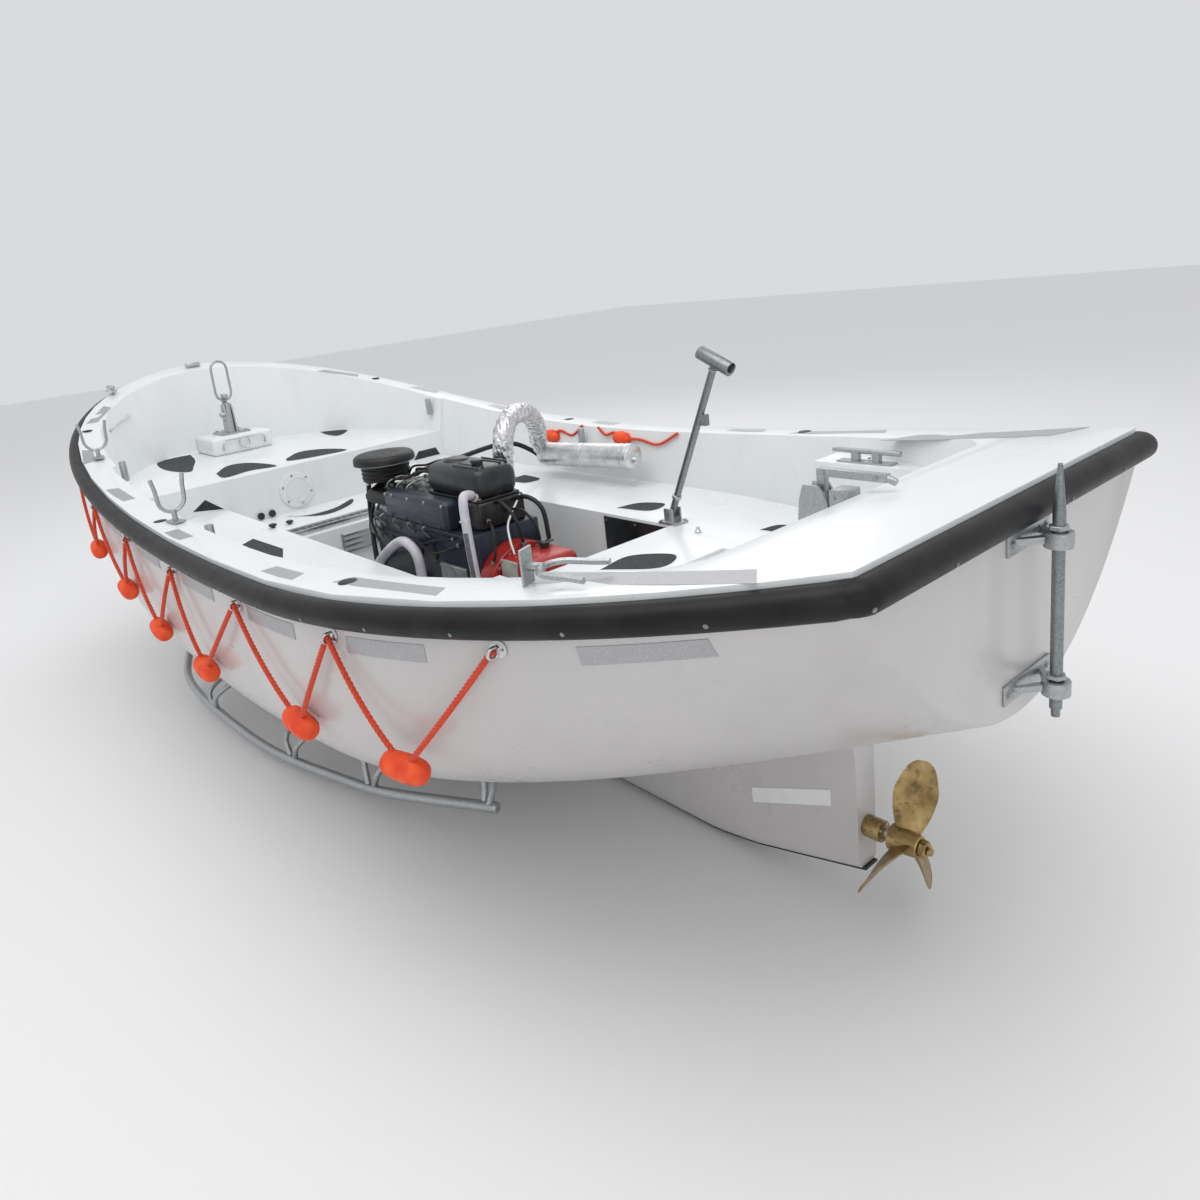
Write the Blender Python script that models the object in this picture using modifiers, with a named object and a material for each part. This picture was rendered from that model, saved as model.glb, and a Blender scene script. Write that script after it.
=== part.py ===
"""An open ship's lifeboat with a transom stern, an inboard diesel and a three-bladed propeller.

The bow points to +X, port is +Y and up is +Z. The origin is on the centreline amidships, at the waterline.
"""

import math

import bmesh
import bpy
from mathutils import Matrix, Vector

# driving sizes of the hull, in metres
HALF_LENGTH = 2.9
WIDEST_X = -1.177
TRANSOM_HALF_BEAM = 0.688
HALF_BEAM = 1.188
BOW_ROUNDNESS = 5.0
BOW_FULLNESS = 1.738
LOWEST_SHEER_X = -0.406
SHEER_HEIGHT = 0.50
SHEER_RISE_AFT = 0.212
SHEER_RISE_FORWARD = 0.495
RIM_ABOVE_SHEER = 0.042
KEEL_DEPTH = -0.487
TRANSOM_FOOT = 0.19
RUN_START_X = -0.12
STEM_START_X = 0.70
STEM_TOP = 0.90
SHELL = 0.012
GAP = 0.0003

# the cockpit opening and its levels
OPENING_HALF_BEAM = 1.10
OPENING_MIDDLE_X = -0.90
OPENING_BOW_X = 2.77
OPENING_STERN_X = -2.50
OPENING_STERN_NARROWING = 0.345
OPENING_TOP = 1.25
SIDE_SLOPE = 0.10
STERN_SLOPE_SHARE = 0.6
TOP_INSET = -0.05
BENCH_HEIGHT = 0.295
BOW_SEAT_HEIGHT = 0.46
BOW_SEAT_X = 1.21
WELL_HALF_WIDTH = 0.485
WELL_FLOOR = -0.20
WELL_AFT_X = -1.27
STEP_HEIGHT = 0.19
STEP_AFT_X = 0.56
THWART_AFT_X = -1.65
FOOTWELL_AFT_X = -1.98
FOOTWELL_HALF_WIDTH = 0.36
LEDGE_HEIGHT = 0.556
LEDGE_OUTLINE = ((-1.80, 0.735), (-2.33, 0.735), (-2.33, 0.78), (-1.80, 0.94))

# the fender around the gunwale
FENDER_BELOW = 0.045
FENDER_ABOVE = 0.030
FENDER_WIDTH = 0.045

# the skeg and what turns behind it
SKEG_AFT_X = -2.45
SKEG_FRONT_X = 0.15
SHAFT_HEIGHT = -0.333
PROPELLER_X = -2.575
PROPELLER_RADIUS = 0.235
STOCK_X = -2.970
STOCK_RADIUS = 0.014
STOCK_FOOT = 0.195
STOCK_TOP = 0.812

# the lifting hooks
FORE_HOOK_X = 2.32
FORE_HOOK_FOOT = 0.575
PEDESTAL_FACE_X = 2.13
AFT_HOOK_X = -2.33
AFT_HOOK_FOOT = 0.505
HOOK_CHEEK_GAP = 0.040
LINK_HEIGHT = 0.220
AFT_LEVER_X = -2.352
AFT_LEVER_HEIGHT = 0.695

# the folding post beside the well
POST_X = -1.250
POST_Y = -0.520
POST_LENGTH = 0.69
POST_LEAN = math.radians(25.0)
PIVOT_HEIGHT = 0.045

# the engine
FILTER_X = 0.10
FILTER_Y = 0.05
CRANK_HEIGHT = 0.10
ENGINE_FRONT_X = 0.08
ENGINE_BACK_X = -0.80


def clear_scene():
    for thing in list(bpy.data.objects):
        bpy.data.objects.remove(thing, do_unlink=True)


def new_collection(name):
    collection = bpy.data.collections.new(name)
    bpy.context.scene.collection.children.link(collection)
    return collection


clear_scene()
BOAT = new_collection("lifeboat")
CUTTERS = new_collection("cutters")


def material(name, colour, roughness, metallic=0.0):
    made = bpy.data.materials.get(name)
    if made is None:
        made = bpy.data.materials.new(name)
        made.use_nodes = True
        surface = made.node_tree.nodes["Principled BSDF"]
        surface.inputs["Base Color"].default_value = (*colour, 1.0)
        surface.inputs["Roughness"].default_value = roughness
        surface.inputs["Metallic"].default_value = metallic
        made.diffuse_color = (*colour, 1.0)
    return made


def gelcoat():
    return material("white_gelcoat", (0.86, 0.87, 0.87), 0.28)


def galvanised():
    return material("galvanised_steel", (0.50, 0.52, 0.53), 0.42, 1.0)


def stainless():
    return material("stainless_steel", (0.62, 0.62, 0.61), 0.30, 1.0)


def bronze():
    return material("propeller_bronze", (0.55, 0.40, 0.18), 0.35, 1.0)


def black_rubber():
    return material("black_rubber", (0.015, 0.015, 0.017), 0.55)


def black_paint():
    return material("black_engine_paint", (0.012, 0.013, 0.016), 0.38)


def blue_paint():
    return material("dark_blue_engine_paint", (0.018, 0.026, 0.050), 0.40)


def red_paint():
    return material("red_gearbox_paint", (0.42, 0.035, 0.025), 0.40)


def orange_rope():
    return material("orange_rope", (0.80, 0.10, 0.03), 0.80)


def foil():
    return material("exhaust_foil", (0.75, 0.76, 0.78), 0.25, 1.0)


def grey_hose():
    return material("grey_hose", (0.52, 0.50, 0.56), 0.50)


def keep(thing, paint):
    """Puts an object into the boat's collection with its own material."""
    for owner in list(thing.users_collection):
        owner.objects.unlink(thing)
    BOAT.objects.link(thing)
    if paint is not None:
        thing.data.materials.clear()
        thing.data.materials.append(paint)
    return thing


def as_cutter(thing):
    """Moves a helper into the cutters' collection, out of the render."""
    for owner in list(thing.users_collection):
        owner.objects.unlink(thing)
    CUTTERS.objects.link(thing)
    thing.hide_render = True
    thing.display_type = "WIRE"
    return thing


def from_bmesh(name, shape, paint=None):
    bmesh.ops.recalc_face_normals(shape, faces=shape.faces)
    mesh = bpy.data.meshes.new(name)
    shape.to_mesh(mesh)
    shape.free()
    thing = bpy.data.objects.new(name, mesh)
    return keep(thing, paint)


def turned_frame(axis):
    """A rotation that takes +Z to the given direction."""
    return Vector((0.0, 0.0, 1.0)).rotation_difference(Vector(axis)).to_matrix().to_4x4()


def move_origin(thing, point):
    """Takes an object's origin to a point, here its joint's axis, and leaves its shape where it is."""
    target = Matrix.Translation(point)
    thing.data.transform(target.inverted() @ thing.matrix_basis)
    thing.matrix_basis = target
    return thing


def box(name, low, high, paint=None, bevel=0.0):
    """A block between two corners, with its edges rounded where a bevel is given."""
    shape = bmesh.new()
    size = [high[i] - low[i] for i in range(3)]
    bmesh.ops.create_cube(shape, size=1.0, matrix=Matrix.Diagonal((*size, 1.0)))
    thing = from_bmesh(name, shape, paint)
    thing.location = [(high[i] + low[i]) / 2 for i in range(3)]
    if bevel > 0:
        edge = thing.modifiers.new("rounded_edges", "BEVEL")
        edge.width = bevel
        edge.segments = 2
        edge.limit_method = "ANGLE"
    return thing


def cylinder(name, start, end, radius, paint=None, sides=20, end_radius=None):
    """A round bar between two points, tapered where an end radius is given."""
    start = Vector(start)
    end = Vector(end)
    shape = bmesh.new()
    bmesh.ops.create_cone(
        shape,
        cap_ends=True,
        segments=sides,
        radius1=radius,
        radius2=radius if end_radius is None else end_radius,
        depth=(end - start).length,
    )
    thing = from_bmesh(name, shape, paint)
    thing.matrix_basis = Matrix.Translation((start + end) / 2) @ turned_frame(end - start)
    return thing


def ball(name, centre, radius, paint=None, stretch=(1.0, 1.0, 1.0), rings=8):
    shape = bmesh.new()
    form = Matrix.Diagonal((*stretch, 1.0))
    bmesh.ops.create_uvsphere(shape, u_segments=2 * rings, v_segments=rings, radius=radius, matrix=form)
    thing = from_bmesh(name, shape, paint)
    thing.location = centre
    return thing


def turned(name, profile, place, paint, steps=16):
    """A turned shape: its profile of radius and height, from the top down, with a Screw modifier."""
    mesh = bpy.data.meshes.new(name)
    ends = [(number, number + 1) for number in range(len(profile) - 1)]
    mesh.from_pydata([(radius, 0.0, z) for radius, z in profile], ends, [])
    thing = bpy.data.objects.new(name, mesh)
    thing.location = place
    screw = thing.modifiers.new("turned", "SCREW")
    screw.axis = "Z"
    screw.steps = steps
    screw.render_steps = steps
    screw.use_merge_vertices = True
    screw.merge_threshold = 0.0001
    return keep(thing, paint)


def from_curve(name, curve, place, paint):
    """Turns a curve with its caps into a closed mesh object, so that Booleans can take it."""
    route = bpy.data.objects.new(name + "_curve", curve)
    CUTTERS.objects.link(route)
    bpy.context.view_layer.update()
    graph = bpy.context.evaluated_depsgraph_get()
    mesh = bpy.data.meshes.new_from_object(route.evaluated_get(graph))
    bpy.data.objects.remove(route, do_unlink=True)
    shape = bmesh.new()
    shape.from_mesh(mesh)
    bpy.data.meshes.remove(mesh)
    bmesh.ops.remove_doubles(shape, verts=shape.verts, dist=0.00005)
    thing = from_bmesh(name, shape, paint)
    thing.matrix_basis = place
    return thing


def tube(name, points, radius, paint=None, closed=False, smooth=False, sides=3, steps=4):
    """A round tube along a list of points, made as a bevelled curve and kept as a mesh."""
    curve = bpy.data.curves.new(name, "CURVE")
    curve.dimensions = "3D"
    curve.bevel_depth = radius
    curve.bevel_resolution = sides
    curve.resolution_u = steps
    curve.use_fill_caps = not closed
    if smooth:
        line = curve.splines.new("BEZIER")
        line.bezier_points.add(len(points) - 1)
        for knot, point in zip(line.bezier_points, points):
            knot.co = point
            knot.handle_left_type = "AUTO"
            knot.handle_right_type = "AUTO"
    else:
        line = curve.splines.new("POLY")
        line.points.add(len(points) - 1)
        for knot, point in zip(line.points, points):
            knot.co = (*point, 1.0)
    line.use_cyclic_u = closed
    return from_curve(name, curve, Matrix.Identity(4), paint)


def plate(name, outline, thickness, frame, paint=None):
    """A flat plate: its outline in the frame's X and Y, half its thickness to each side along Z."""
    curve = bpy.data.curves.new(name, "CURVE")
    curve.dimensions = "2D"
    curve.fill_mode = "BOTH"
    curve.extrude = thickness / 2
    line = curve.splines.new("POLY")
    line.points.add(len(outline) - 1)
    for knot, (x, y) in zip(line.points, outline):
        knot.co = (x, y, 0.0, 1.0)
    line.use_cyclic_u = True
    return from_curve(name, curve, frame, paint)


def loft(name, rings, paint=None, wrap=False, cap=True):
    """A closed solid through a list of rings with equal numbers of points."""
    shape = bmesh.new()
    grid = [[shape.verts.new(point) for point in ring] for ring in rings]
    count = len(rings[0])
    spans = len(grid) if wrap else len(grid) - 1
    for i in range(spans):
        near = grid[i]
        far = grid[(i + 1) % len(grid)]
        for j in range(count):
            k = (j + 1) % count
            shape.faces.new((near[j], near[k], far[k], far[j]))
    if cap and not wrap:
        shape.faces.new(grid[0][::-1])
        shape.faces.new(grid[-1])
    return from_bmesh(name, shape, paint)


def combine(target, helpers, operation):
    """Adds exact Booleans to the target, one for each helper, and hides the helpers."""
    for helper in helpers:
        step = target.modifiers.new(operation.lower() + "_" + helper.name, "BOOLEAN")
        step.operation = operation
        step.solver = "EXACT"
        step.object = helper
        as_cutter(helper)
    return target


def join(target, helpers):
    return combine(target, helpers, "UNION")


def cut(target, helpers):
    return combine(target, helpers, "DIFFERENCE")


def half_beam(x):
    """The hull's half breadth at the gunwale."""
    if x <= WIDEST_X:
        aft = (WIDEST_X - x) / (WIDEST_X + HALF_LENGTH)
        return TRANSOM_HALF_BEAM + (HALF_BEAM - TRANSOM_HALF_BEAM) * (1 - aft**2)
    forward = min((x - WIDEST_X) / (HALF_LENGTH - WIDEST_X), 1.0)
    return HALF_BEAM * (1 - forward**BOW_ROUNDNESS) ** (1 / BOW_FULLNESS)


def sheer(x):
    """The height of the gunwale's line."""
    if x > LOWEST_SHEER_X:
        along = (x - LOWEST_SHEER_X) / (HALF_LENGTH - LOWEST_SHEER_X)
        return SHEER_HEIGHT + SHEER_RISE_FORWARD * along**2
    along = (LOWEST_SHEER_X - x) / (HALF_LENGTH + LOWEST_SHEER_X)
    return SHEER_HEIGHT + SHEER_RISE_AFT * along**2


def keel(x):
    """The lowest point of the hull's section, without the skeg."""
    if x < RUN_START_X:
        along = (RUN_START_X - x) / (RUN_START_X + HALF_LENGTH)
        return KEEL_DEPTH + (TRANSOM_FOOT - KEEL_DEPTH) * along**2
    if x > STEM_START_X:
        along = min((x - STEM_START_X) / (HALF_LENGTH - STEM_START_X), 1.0)
        return KEEL_DEPTH + (STEM_TOP - KEEL_DEPTH) * (1 - (1 - along**2.62) ** (1 / 2.62))
    return KEEL_DEPTH


def section_powers(x):
    """How full a section is: the transom's is a parabola, amidships the bilge is nearly square."""
    aft = min(max((x + HALF_LENGTH) / 1.6, 0.0), 1.0)
    aft = aft * aft * (3 - 2 * aft)
    down = 1.03 + (3.885 - 1.03) * aft
    across = 2.03 + (1.646 - 2.03) * aft
    bow = min(max((x - 0.6) / 2.3, 0.0), 1.0)
    down = down + (1.476 - down) * bow
    across = across + (1.628 - across) * bow
    return down, across


def section_point(x, share, inset=0.0):
    """A point of the half section: share 0 is the gunwale and 1 is the keel."""
    down, across = section_powers(x)
    top = sheer(x) - 0.02
    foot = keel(x) + inset * 1.2
    width = max(half_beam(x) - inset, 0.004)
    return width * max(1 - share**down, 0.0) ** (1 / across), top + (foot - top) * share


def hull_half_breadth(x, z):
    down, across = section_powers(x)
    top = sheer(x) - 0.02
    share = min(max((top - z) / (top - keel(x)), 0.0), 1.0)
    return half_beam(x) * max(1 - share**down, 0.0) ** (1 / across)


STATIONS = (
    -2.9, -2.75, -2.55, -2.3, -2.0, -1.6, -1.2, -0.7, -0.2, 0.3, 0.7, 1.1, 1.45, 1.75,
    2.0, 2.2, 2.38, 2.53, 2.66, 2.76, 2.83, 2.87, 2.89, 2.898,
)
SECTION_SHARES = (0.0, 0.2, 0.4, 0.56, 0.69, 0.79, 0.87, 0.93, 0.97, 0.992, 1.0)


def section_ring(x, inset, rim, place_x=None):
    """A whole section from the port rim down around the keel to the starboard rim."""
    place_x = x if place_x is None else place_x
    port = [(place_x, max(half_beam(x) - inset, 0.004), sheer(x) + rim)]
    for share in SECTION_SHARES[:-1]:
        y, z = section_point(x, share, inset)
        port.append((place_x, y, z))
    foot = (place_x, 0.0, section_point(x, 1.0, inset)[1])
    return port + [foot] + [(px, -y, z) for px, y, z in port[::-1]]


def inner_places():
    """Where the inner skin has its sections: the outer skin's, with both ends moved in by the wall."""
    return [-HALF_LENGTH + SHELL] + list(STATIONS[1:-3]) + [2.868, STATIONS[-1] - SHELL]


def form_cutter(name):
    """The hull's form, a hair larger all round, that trims what is fastened under it."""
    rings = [section_ring(x, -GAP, 0.0) for x in STATIONS[:-3]]
    return loft(name, rings)


def make_hull_shell():
    """The outer skin, open at the top and closed by the transom."""
    shape = bmesh.new()
    outer = [[shape.verts.new(p) for p in section_ring(x, 0.0, RIM_ABOVE_SHEER)] for x in STATIONS]
    inner = [[shape.verts.new(p) for p in section_ring(x, SHELL, RIM_ABOVE_SHEER)] for x in inner_places()]
    count = len(outer[0])
    for skin in (outer, inner):
        for near, far in zip(skin, skin[1:]):
            for j in range(count - 1):
                shape.faces.new((near[j], near[j + 1], far[j + 1], far[j]))
        shape.faces.new(skin[0])
        for j in range(count // 2):
            k = count - 1 - j
            corners = [skin[-1][j], skin[-1][j + 1], skin[-1][k - 1], skin[-1][k]]
            if corners[1] is corners[2]:
                corners.pop(2)
            shape.faces.new(corners)
    for side in (0, count - 1):
        for i in range(len(inner) - 1):
            shape.faces.new((outer[i][side], outer[i + 1][side], inner[i + 1][side], inner[i][side]))
        shape.faces.new((outer[-2][side], outer[-1][side], inner[-1][side]))
    shape.faces.new((outer[0][0], inner[0][0], inner[0][-1], outer[0][-1]))
    shape.faces.new((outer[-1][0], inner[-1][0], inner[-1][-1], outer[-1][-1]))
    return from_bmesh("hull_shell", shape, gelcoat())


def opening_half_beam(x, inset=0.0):
    """The half breadth of the cockpit opening: round at the bow, cut straight across at the stern."""
    width = OPENING_HALF_BEAM - inset
    if x >= OPENING_MIDDLE_X:
        along = min((x - OPENING_MIDDLE_X) / (OPENING_BOW_X - inset - OPENING_MIDDLE_X), 1.0)
        return width * (1 - along**BOW_ROUNDNESS) ** (1 / BOW_FULLNESS)
    along = (OPENING_MIDDLE_X - x) / (OPENING_MIDDLE_X - OPENING_STERN_X)
    return OPENING_HALF_BEAM * (1 - OPENING_STERN_NARROWING * along**2) - inset


OPENING_STERN_STEPS = (1.0, 0.96, 0.8, 0.6, 0.4, 0.2)
OPENING_BOW_STEPS = (0.0, 0.2, 0.4, 0.55, 0.68, 0.78, 0.86, 0.92, 0.96, 0.985, 0.998)


def opening_points(z, inset):
    """The opening's outline at one level, from port aft around the bow to starboard aft."""
    stern = OPENING_STERN_X + STERN_SLOPE_SHARE * inset
    port = [(stern, opening_half_beam(stern, inset) - 0.07, z)]
    for step in OPENING_STERN_STEPS[1:]:
        x = OPENING_MIDDLE_X + step * (stern - OPENING_MIDDLE_X)
        port.append((x, opening_half_beam(x, inset), z))
    for step in OPENING_BOW_STEPS:
        x = OPENING_MIDDLE_X + step * (OPENING_BOW_X - inset - OPENING_MIDDLE_X)
        port.append((x, opening_half_beam(x, inset), z))
    return port + [(x, -y, z) for x, y, z in port[::-1]]


def wall_half_breadth(x, z):
    """The half breadth of the cockpit at a height over the benches."""
    floor = BENCH_HEIGHT if x < BOW_SEAT_X else BOW_SEAT_HEIGHT
    share = (z - floor) / (OPENING_TOP - floor)
    return opening_half_beam(x, SIDE_SLOPE + (TOP_INSET - SIDE_SLOPE) * share)


def opening_cutter(name, floor):
    """The space over the seats: its sides lean out by the slope from the floor to above the rim."""
    return loft(name, [opening_points(floor, SIDE_SLOPE), opening_points(OPENING_TOP, TOP_INSET)])


def make_inner_moulding():
    """The white inner moulding with its foam: benches, bow seat, step, engine well, thwart and side decks."""
    places = inner_places()
    rings = []
    for number, x in enumerate(places):
        place = x
        if number == 0:
            place = x + GAP
        if number == len(places) - 1:
            place = x - GAP
        ring = section_ring(x, SHELL + 0.0008, RIM_ABOVE_SHEER)
        rings.append([(place, y, z) for _, y, z in ring])
    moulding = loft("inner_moulding", rings, gelcoat())
    over_benches = opening_cutter("cut_over_benches", BENCH_HEIGHT)
    cut(over_benches, [box("cut_bow_part", (BOW_SEAT_X, -2, -1), (4, 2, 2))])
    over_bow_seat = opening_cutter("cut_over_bow_seat", BOW_SEAT_HEIGHT)
    width = WELL_HALF_WIDTH
    well = box("cut_well", (WELL_AFT_X, -width, WELL_FLOOR), (STEP_AFT_X, width, 1.0))
    step = box("cut_step", (STEP_AFT_X - 0.01, -width, STEP_HEIGHT), (BOW_SEAT_X, width, 1.0))
    width = FOOTWELL_HALF_WIDTH
    footwell = box("cut_footwell", (FOOTWELL_AFT_X, -width, STEP_HEIGHT), (THWART_AFT_X, width, 1.0))
    cut(moulding, [over_benches, over_bow_seat, well, step, footwell])
    ledges = []
    for side in (1, -1):
        outline = [(x, side * y) for x, y in LEDGE_OUTLINE]
        middle = (LEDGE_HEIGHT + BENCH_HEIGHT - 0.015) / 2
        thickness = LEDGE_HEIGHT - BENCH_HEIGHT + 0.015
        frame = Matrix.Translation((0, 0, middle))
        ledges.append(plate("quarter_ledge_%d" % (side + 1), outline, thickness, frame))
    return join(moulding, ledges)


def make_skeg():
    """The deep fin under the stern, cut to the hull above it."""
    table = (
        # x, foot, half width of the foot, half width at the hull
        (SKEG_AFT_X, -0.462, 0.045, 0.048),
        (-2.25, -0.512, 0.045, 0.052),
        (-2.05, -0.560, 0.045, 0.062),
        (-1.88, -0.583, 0.045, 0.075),
        (-1.65, -0.580, 0.045, 0.088),
        (-1.3, -0.575, 0.045, 0.100),
        (-0.7, -0.560, 0.045, 0.100),
        (SKEG_FRONT_X, -0.525, 0.040, 0.070),
    )
    rings = []
    for x, foot, foot_width, top_width in table:
        top = keel(x) + 0.06
        middle = foot + 0.6 * (keel(x) - foot)
        waist = foot_width + 0.25 * (top_width - foot_width)
        half = [(foot_width * 0.8, foot), (foot_width, foot + 0.012), (waist, middle), (top_width, top)]
        rings.append([(x, y, z) for y, z in half] + [(x, -y, z) for y, z in half[::-1]])
    skeg = loft("skeg", rings, gelcoat())
    return cut(skeg, [form_cutter("cut_hull_form")])


def make_skeg_shoe():
    """The dark steel strip along the skeg's foot."""
    line = (
        # x and z under the skeg's foot
        (SKEG_AFT_X - 0.012, -0.4605), (-2.25, -0.5128), (-2.05, -0.5608), (-1.88, -0.5838),
        (-1.65, -0.5808), (-1.3, -0.5758),
    )
    rings = []
    for x, z in line:
        rings.append([(x, 0.03, z - 0.008), (x, 0.03, z), (x, -0.03, z), (x, -0.03, z - 0.008)])
    return loft("skeg_shoe", rings, black_paint())


def gunwale_path():
    """Points around the gunwale with their outward normals, from port aft around the stem and the transom."""
    side = []
    for x in STATIONS:
        near = max(x - 0.002, -HALF_LENGTH)
        far = min(x + 0.002, HALF_LENGTH - 0.0005)
        tangent = Vector((far - near, half_beam(far) - half_beam(near), 0)).normalized()
        side.append((x, half_beam(x), Vector((-tangent.y, tangent.x, 0))))
    path = side + [(STATIONS[-1], 0.0, Vector((1, 0, 0)))]
    path += [(x, -y, Vector((normal.x, -normal.y, 0))) for x, y, normal in side[::-1]]
    corner = path[-1][2]
    start = math.atan2(corner.y, corner.x)
    fan = []
    for turn in (0.33, 0.66, 1.0):
        angle = start + (-math.pi - start) * turn
        fan.append((-HALF_LENGTH, -TRANSOM_HALF_BEAM, Vector((math.cos(angle), math.sin(angle), 0))))
    path += fan
    path.append((-HALF_LENGTH, 0.0, Vector((-1, 0, 0))))
    path += [(x, -y, Vector((normal.x, -normal.y, 0))) for x, y, normal in fan[::-1]]
    return path


FENDER_PROFILE = (
    # share of the width outward, share of the height
    (0.0, 1.0), (0.55, 0.99), (0.9, 0.82), (1.0, 0.5), (0.9, 0.18), (0.55, 0.01), (0.0, 0.0),
)


def make_fender():
    """The black D-shaped rubber fender, one length around the whole gunwale."""
    height = FENDER_BELOW + FENDER_ABOVE
    rings = []
    for x, y, normal in gunwale_path():
        ring = []
        for outward, up in FENDER_PROFILE:
            reach = FENDER_WIDTH * outward + 0.0006
            ring.append((x + normal.x * reach, y + normal.y * reach, sheer(x) + up * height - FENDER_BELOW))
        rings.append(ring)
    return loft("fender", rings, black_rubber(), wrap=True)


def make_stern_bearing():
    back = SKEG_AFT_X - GAP
    return cylinder(
        "stern_bearing", (back, 0, SHAFT_HEIGHT), (back - 0.055, 0, SHAFT_HEIGHT), 0.033, bronze(), 24
    )


def shaft_point(x):
    return Vector((x, 0.0, SHAFT_HEIGHT))


BLADE_SECTIONS = (
    # share of the blade's reach, chord and thickness in metres, lean in degrees
    (0.10, 0.062, 0.016, 62), (0.35, 0.110, 0.013, 48), (0.62, 0.140, 0.010, 36), (0.85, 0.110, 0.007, 29),
    (1.00, 0.040, 0.004, 26),
)
# one section's corners, as shares of its chord and its thickness
BLADE_OUTLINE = ((-0.5, 0), (-0.2, 0.5), (0.2, 0.5), (0.5, 0), (0.2, -0.5), (-0.2, -0.5))


def make_propeller():
    """Hub, nut and three twisted blades in one casting."""
    front = shaft_point(PROPELLER_X + 0.045)
    back = shaft_point(PROPELLER_X - 0.045)
    hub = cylinder("propeller", front, back, 0.040, bronze(), 24, 0.032)
    cone = cylinder("propeller_nut", back, back - Vector((0.040, 0, 0)), 0.022, None, 16, 0.012)
    cone.location.x += 0.005
    blades = []
    for number in range(3):
        rings = []
        for reach, chord, thick, pitch in BLADE_SECTIONS:
            radius = reach * PROPELLER_RADIUS
            lean = math.radians(pitch)
            ring = []
            for along, up in BLADE_OUTLINE:
                a = along * chord
                b = up * thick
                aft = a * math.sin(lean) + b * math.cos(lean)
                ring.append((aft, a * math.cos(lean) - b * math.sin(lean), radius))
            rings.append(ring)
        blade = loft("blade_%d" % number, rings)
        angle = math.radians(25 + 120 * number)
        blade.matrix_basis = Matrix.Translation(shaft_point(PROPELLER_X)) @ Matrix.Rotation(angle, 4, "X")
        blades.append(blade)
    return join(hub, [cone] + blades)


def make_propeller_shaft():
    return cylinder("propeller_shaft", shaft_point(SKEG_AFT_X - 0.0556), shaft_point(PROPELLER_X + 0.0453),
                    0.0125, stainless(), 16)


def make_rudder_stock():
    """The bare stock that hangs at the transom: its blade is missing in the photo."""
    profile = (
        (0.0, STOCK_TOP), (0.005, STOCK_TOP), (STOCK_RADIUS, STOCK_TOP - 0.112),
        (STOCK_RADIUS, STOCK_FOOT + 0.021), (0.010, STOCK_FOOT + 0.020), (0.010, STOCK_FOOT),
        (0.0, STOCK_FOOT),
    )
    return turned("rudder_stock", profile, (STOCK_X, 0.0, 0.0), galvanised())


def make_gudgeon(name, height, plate_height, half_width):
    """A plate on the transom with two arms to a ring around the stock."""
    face = -HALF_LENGTH - GAP
    pad = box(name, (face - 0.006, -half_width, height - plate_height / 2),
              (face, half_width, height + plate_height / 2), galvanised())
    reach = STOCK_X + 0.030
    arms = []
    for side in (-1, 1):
        wide = side * half_width * 0.7
        thin = side * 0.004
        root = face - 0.003
        outline = [(root, wide), (root, wide - side * 0.02), (reach, thin), (reach - 0.015, side * 0.020)]
        if side < 0:
            outline = outline[::-1]
        frame = Matrix.Translation((0, 0, height))
        arms.append(plate("%s_arm_%d" % (name, side + 1), outline, 0.016, frame))
    ring = cylinder(name + "_ring", (STOCK_X, 0, height - 0.018), (STOCK_X, 0, height + 0.018), 0.032)
    join(pad, arms + [ring])
    radius = STOCK_RADIUS + 0.002
    hole = cylinder("cut_" + name, (STOCK_X, 0, height - 0.05), (STOCK_X, 0, height + 0.05), radius)
    return cut(pad, [hole])


def hook_cheeks(name, x, foot, back):
    """The two plates that hold the hook's pin between them."""
    cheeks = []
    for side in (-1, 1):
        middle = side * (HOOK_CHEEK_GAP / 2 + 0.004)
        outline = [
            (-back, 0.005), (0.055, 0.005), (0.040, 0.15),
            (0.026, 0.195), (-0.026, 0.195), (-back + 0.015, 0.15),
        ]
        frame = Matrix.Translation((x, middle, foot)) @ Matrix.Rotation(math.pi / 2, 4, "X")
        cheeks.append(plate("%s_cheek_%d" % (name, side + 1), outline, 0.008, frame))
    return cheeks


def make_fore_hook():
    """The fore lifting hook: base, cheeks, knob and the hook itself, open towards the stern."""
    x = FORE_HOOK_X
    foot = FORE_HOOK_FOOT
    low = (x - 0.10, -0.095, foot + GAP)
    base = box("fore_hook_frame", low, (x + 0.10, 0.095, foot + 0.012), galvanised())
    pin = foot + 0.13
    knob = cylinder("fore_hook_knob", (x - 0.02, HOOK_CHEEK_GAP / 2, pin), (x - 0.02, 0.058, pin), 0.016)
    outline = [
        (-0.030, 0.005), (0.030, 0.005), (0.030, 0.262), (-0.026, 0.262), (-0.032, 0.236), (0.0145, 0.2355),
        (0.0145, 0.2050), (-0.030, 0.2045),
    ]
    frame = Matrix.Translation((x, 0, foot)) @ Matrix.Rotation(math.pi / 2, 4, "X")
    hook = plate("fore_hook_jaw", outline, 0.030, frame)
    bridge = box("fore_hook_bridge", (x - 0.012, -0.024, foot + 0.03), (x + 0.012, 0.024, foot + 0.11))
    return join(base, hook_cheeks("fore_hook", x, foot, 0.055) + [knob, hook, bridge])


def make_fore_link():
    """The long lifting link that stands in the fore hook's jaw."""
    low = FORE_HOOK_FOOT + LINK_HEIGHT
    half = 0.052
    points = []
    for start, height in ((math.pi, low + half), (0.0, low + 0.262 - half)):
        for step in range(7):
            angle = start + math.pi * step / 6
            points.append((FORE_HOOK_X, half * math.cos(angle), height + half * math.sin(angle)))
    link = tube("fore_lifting_link", points, 0.0085, galvanised(), closed=True, sides=2)
    return move_origin(link, (FORE_HOOK_X, 0.0, low))


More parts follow.
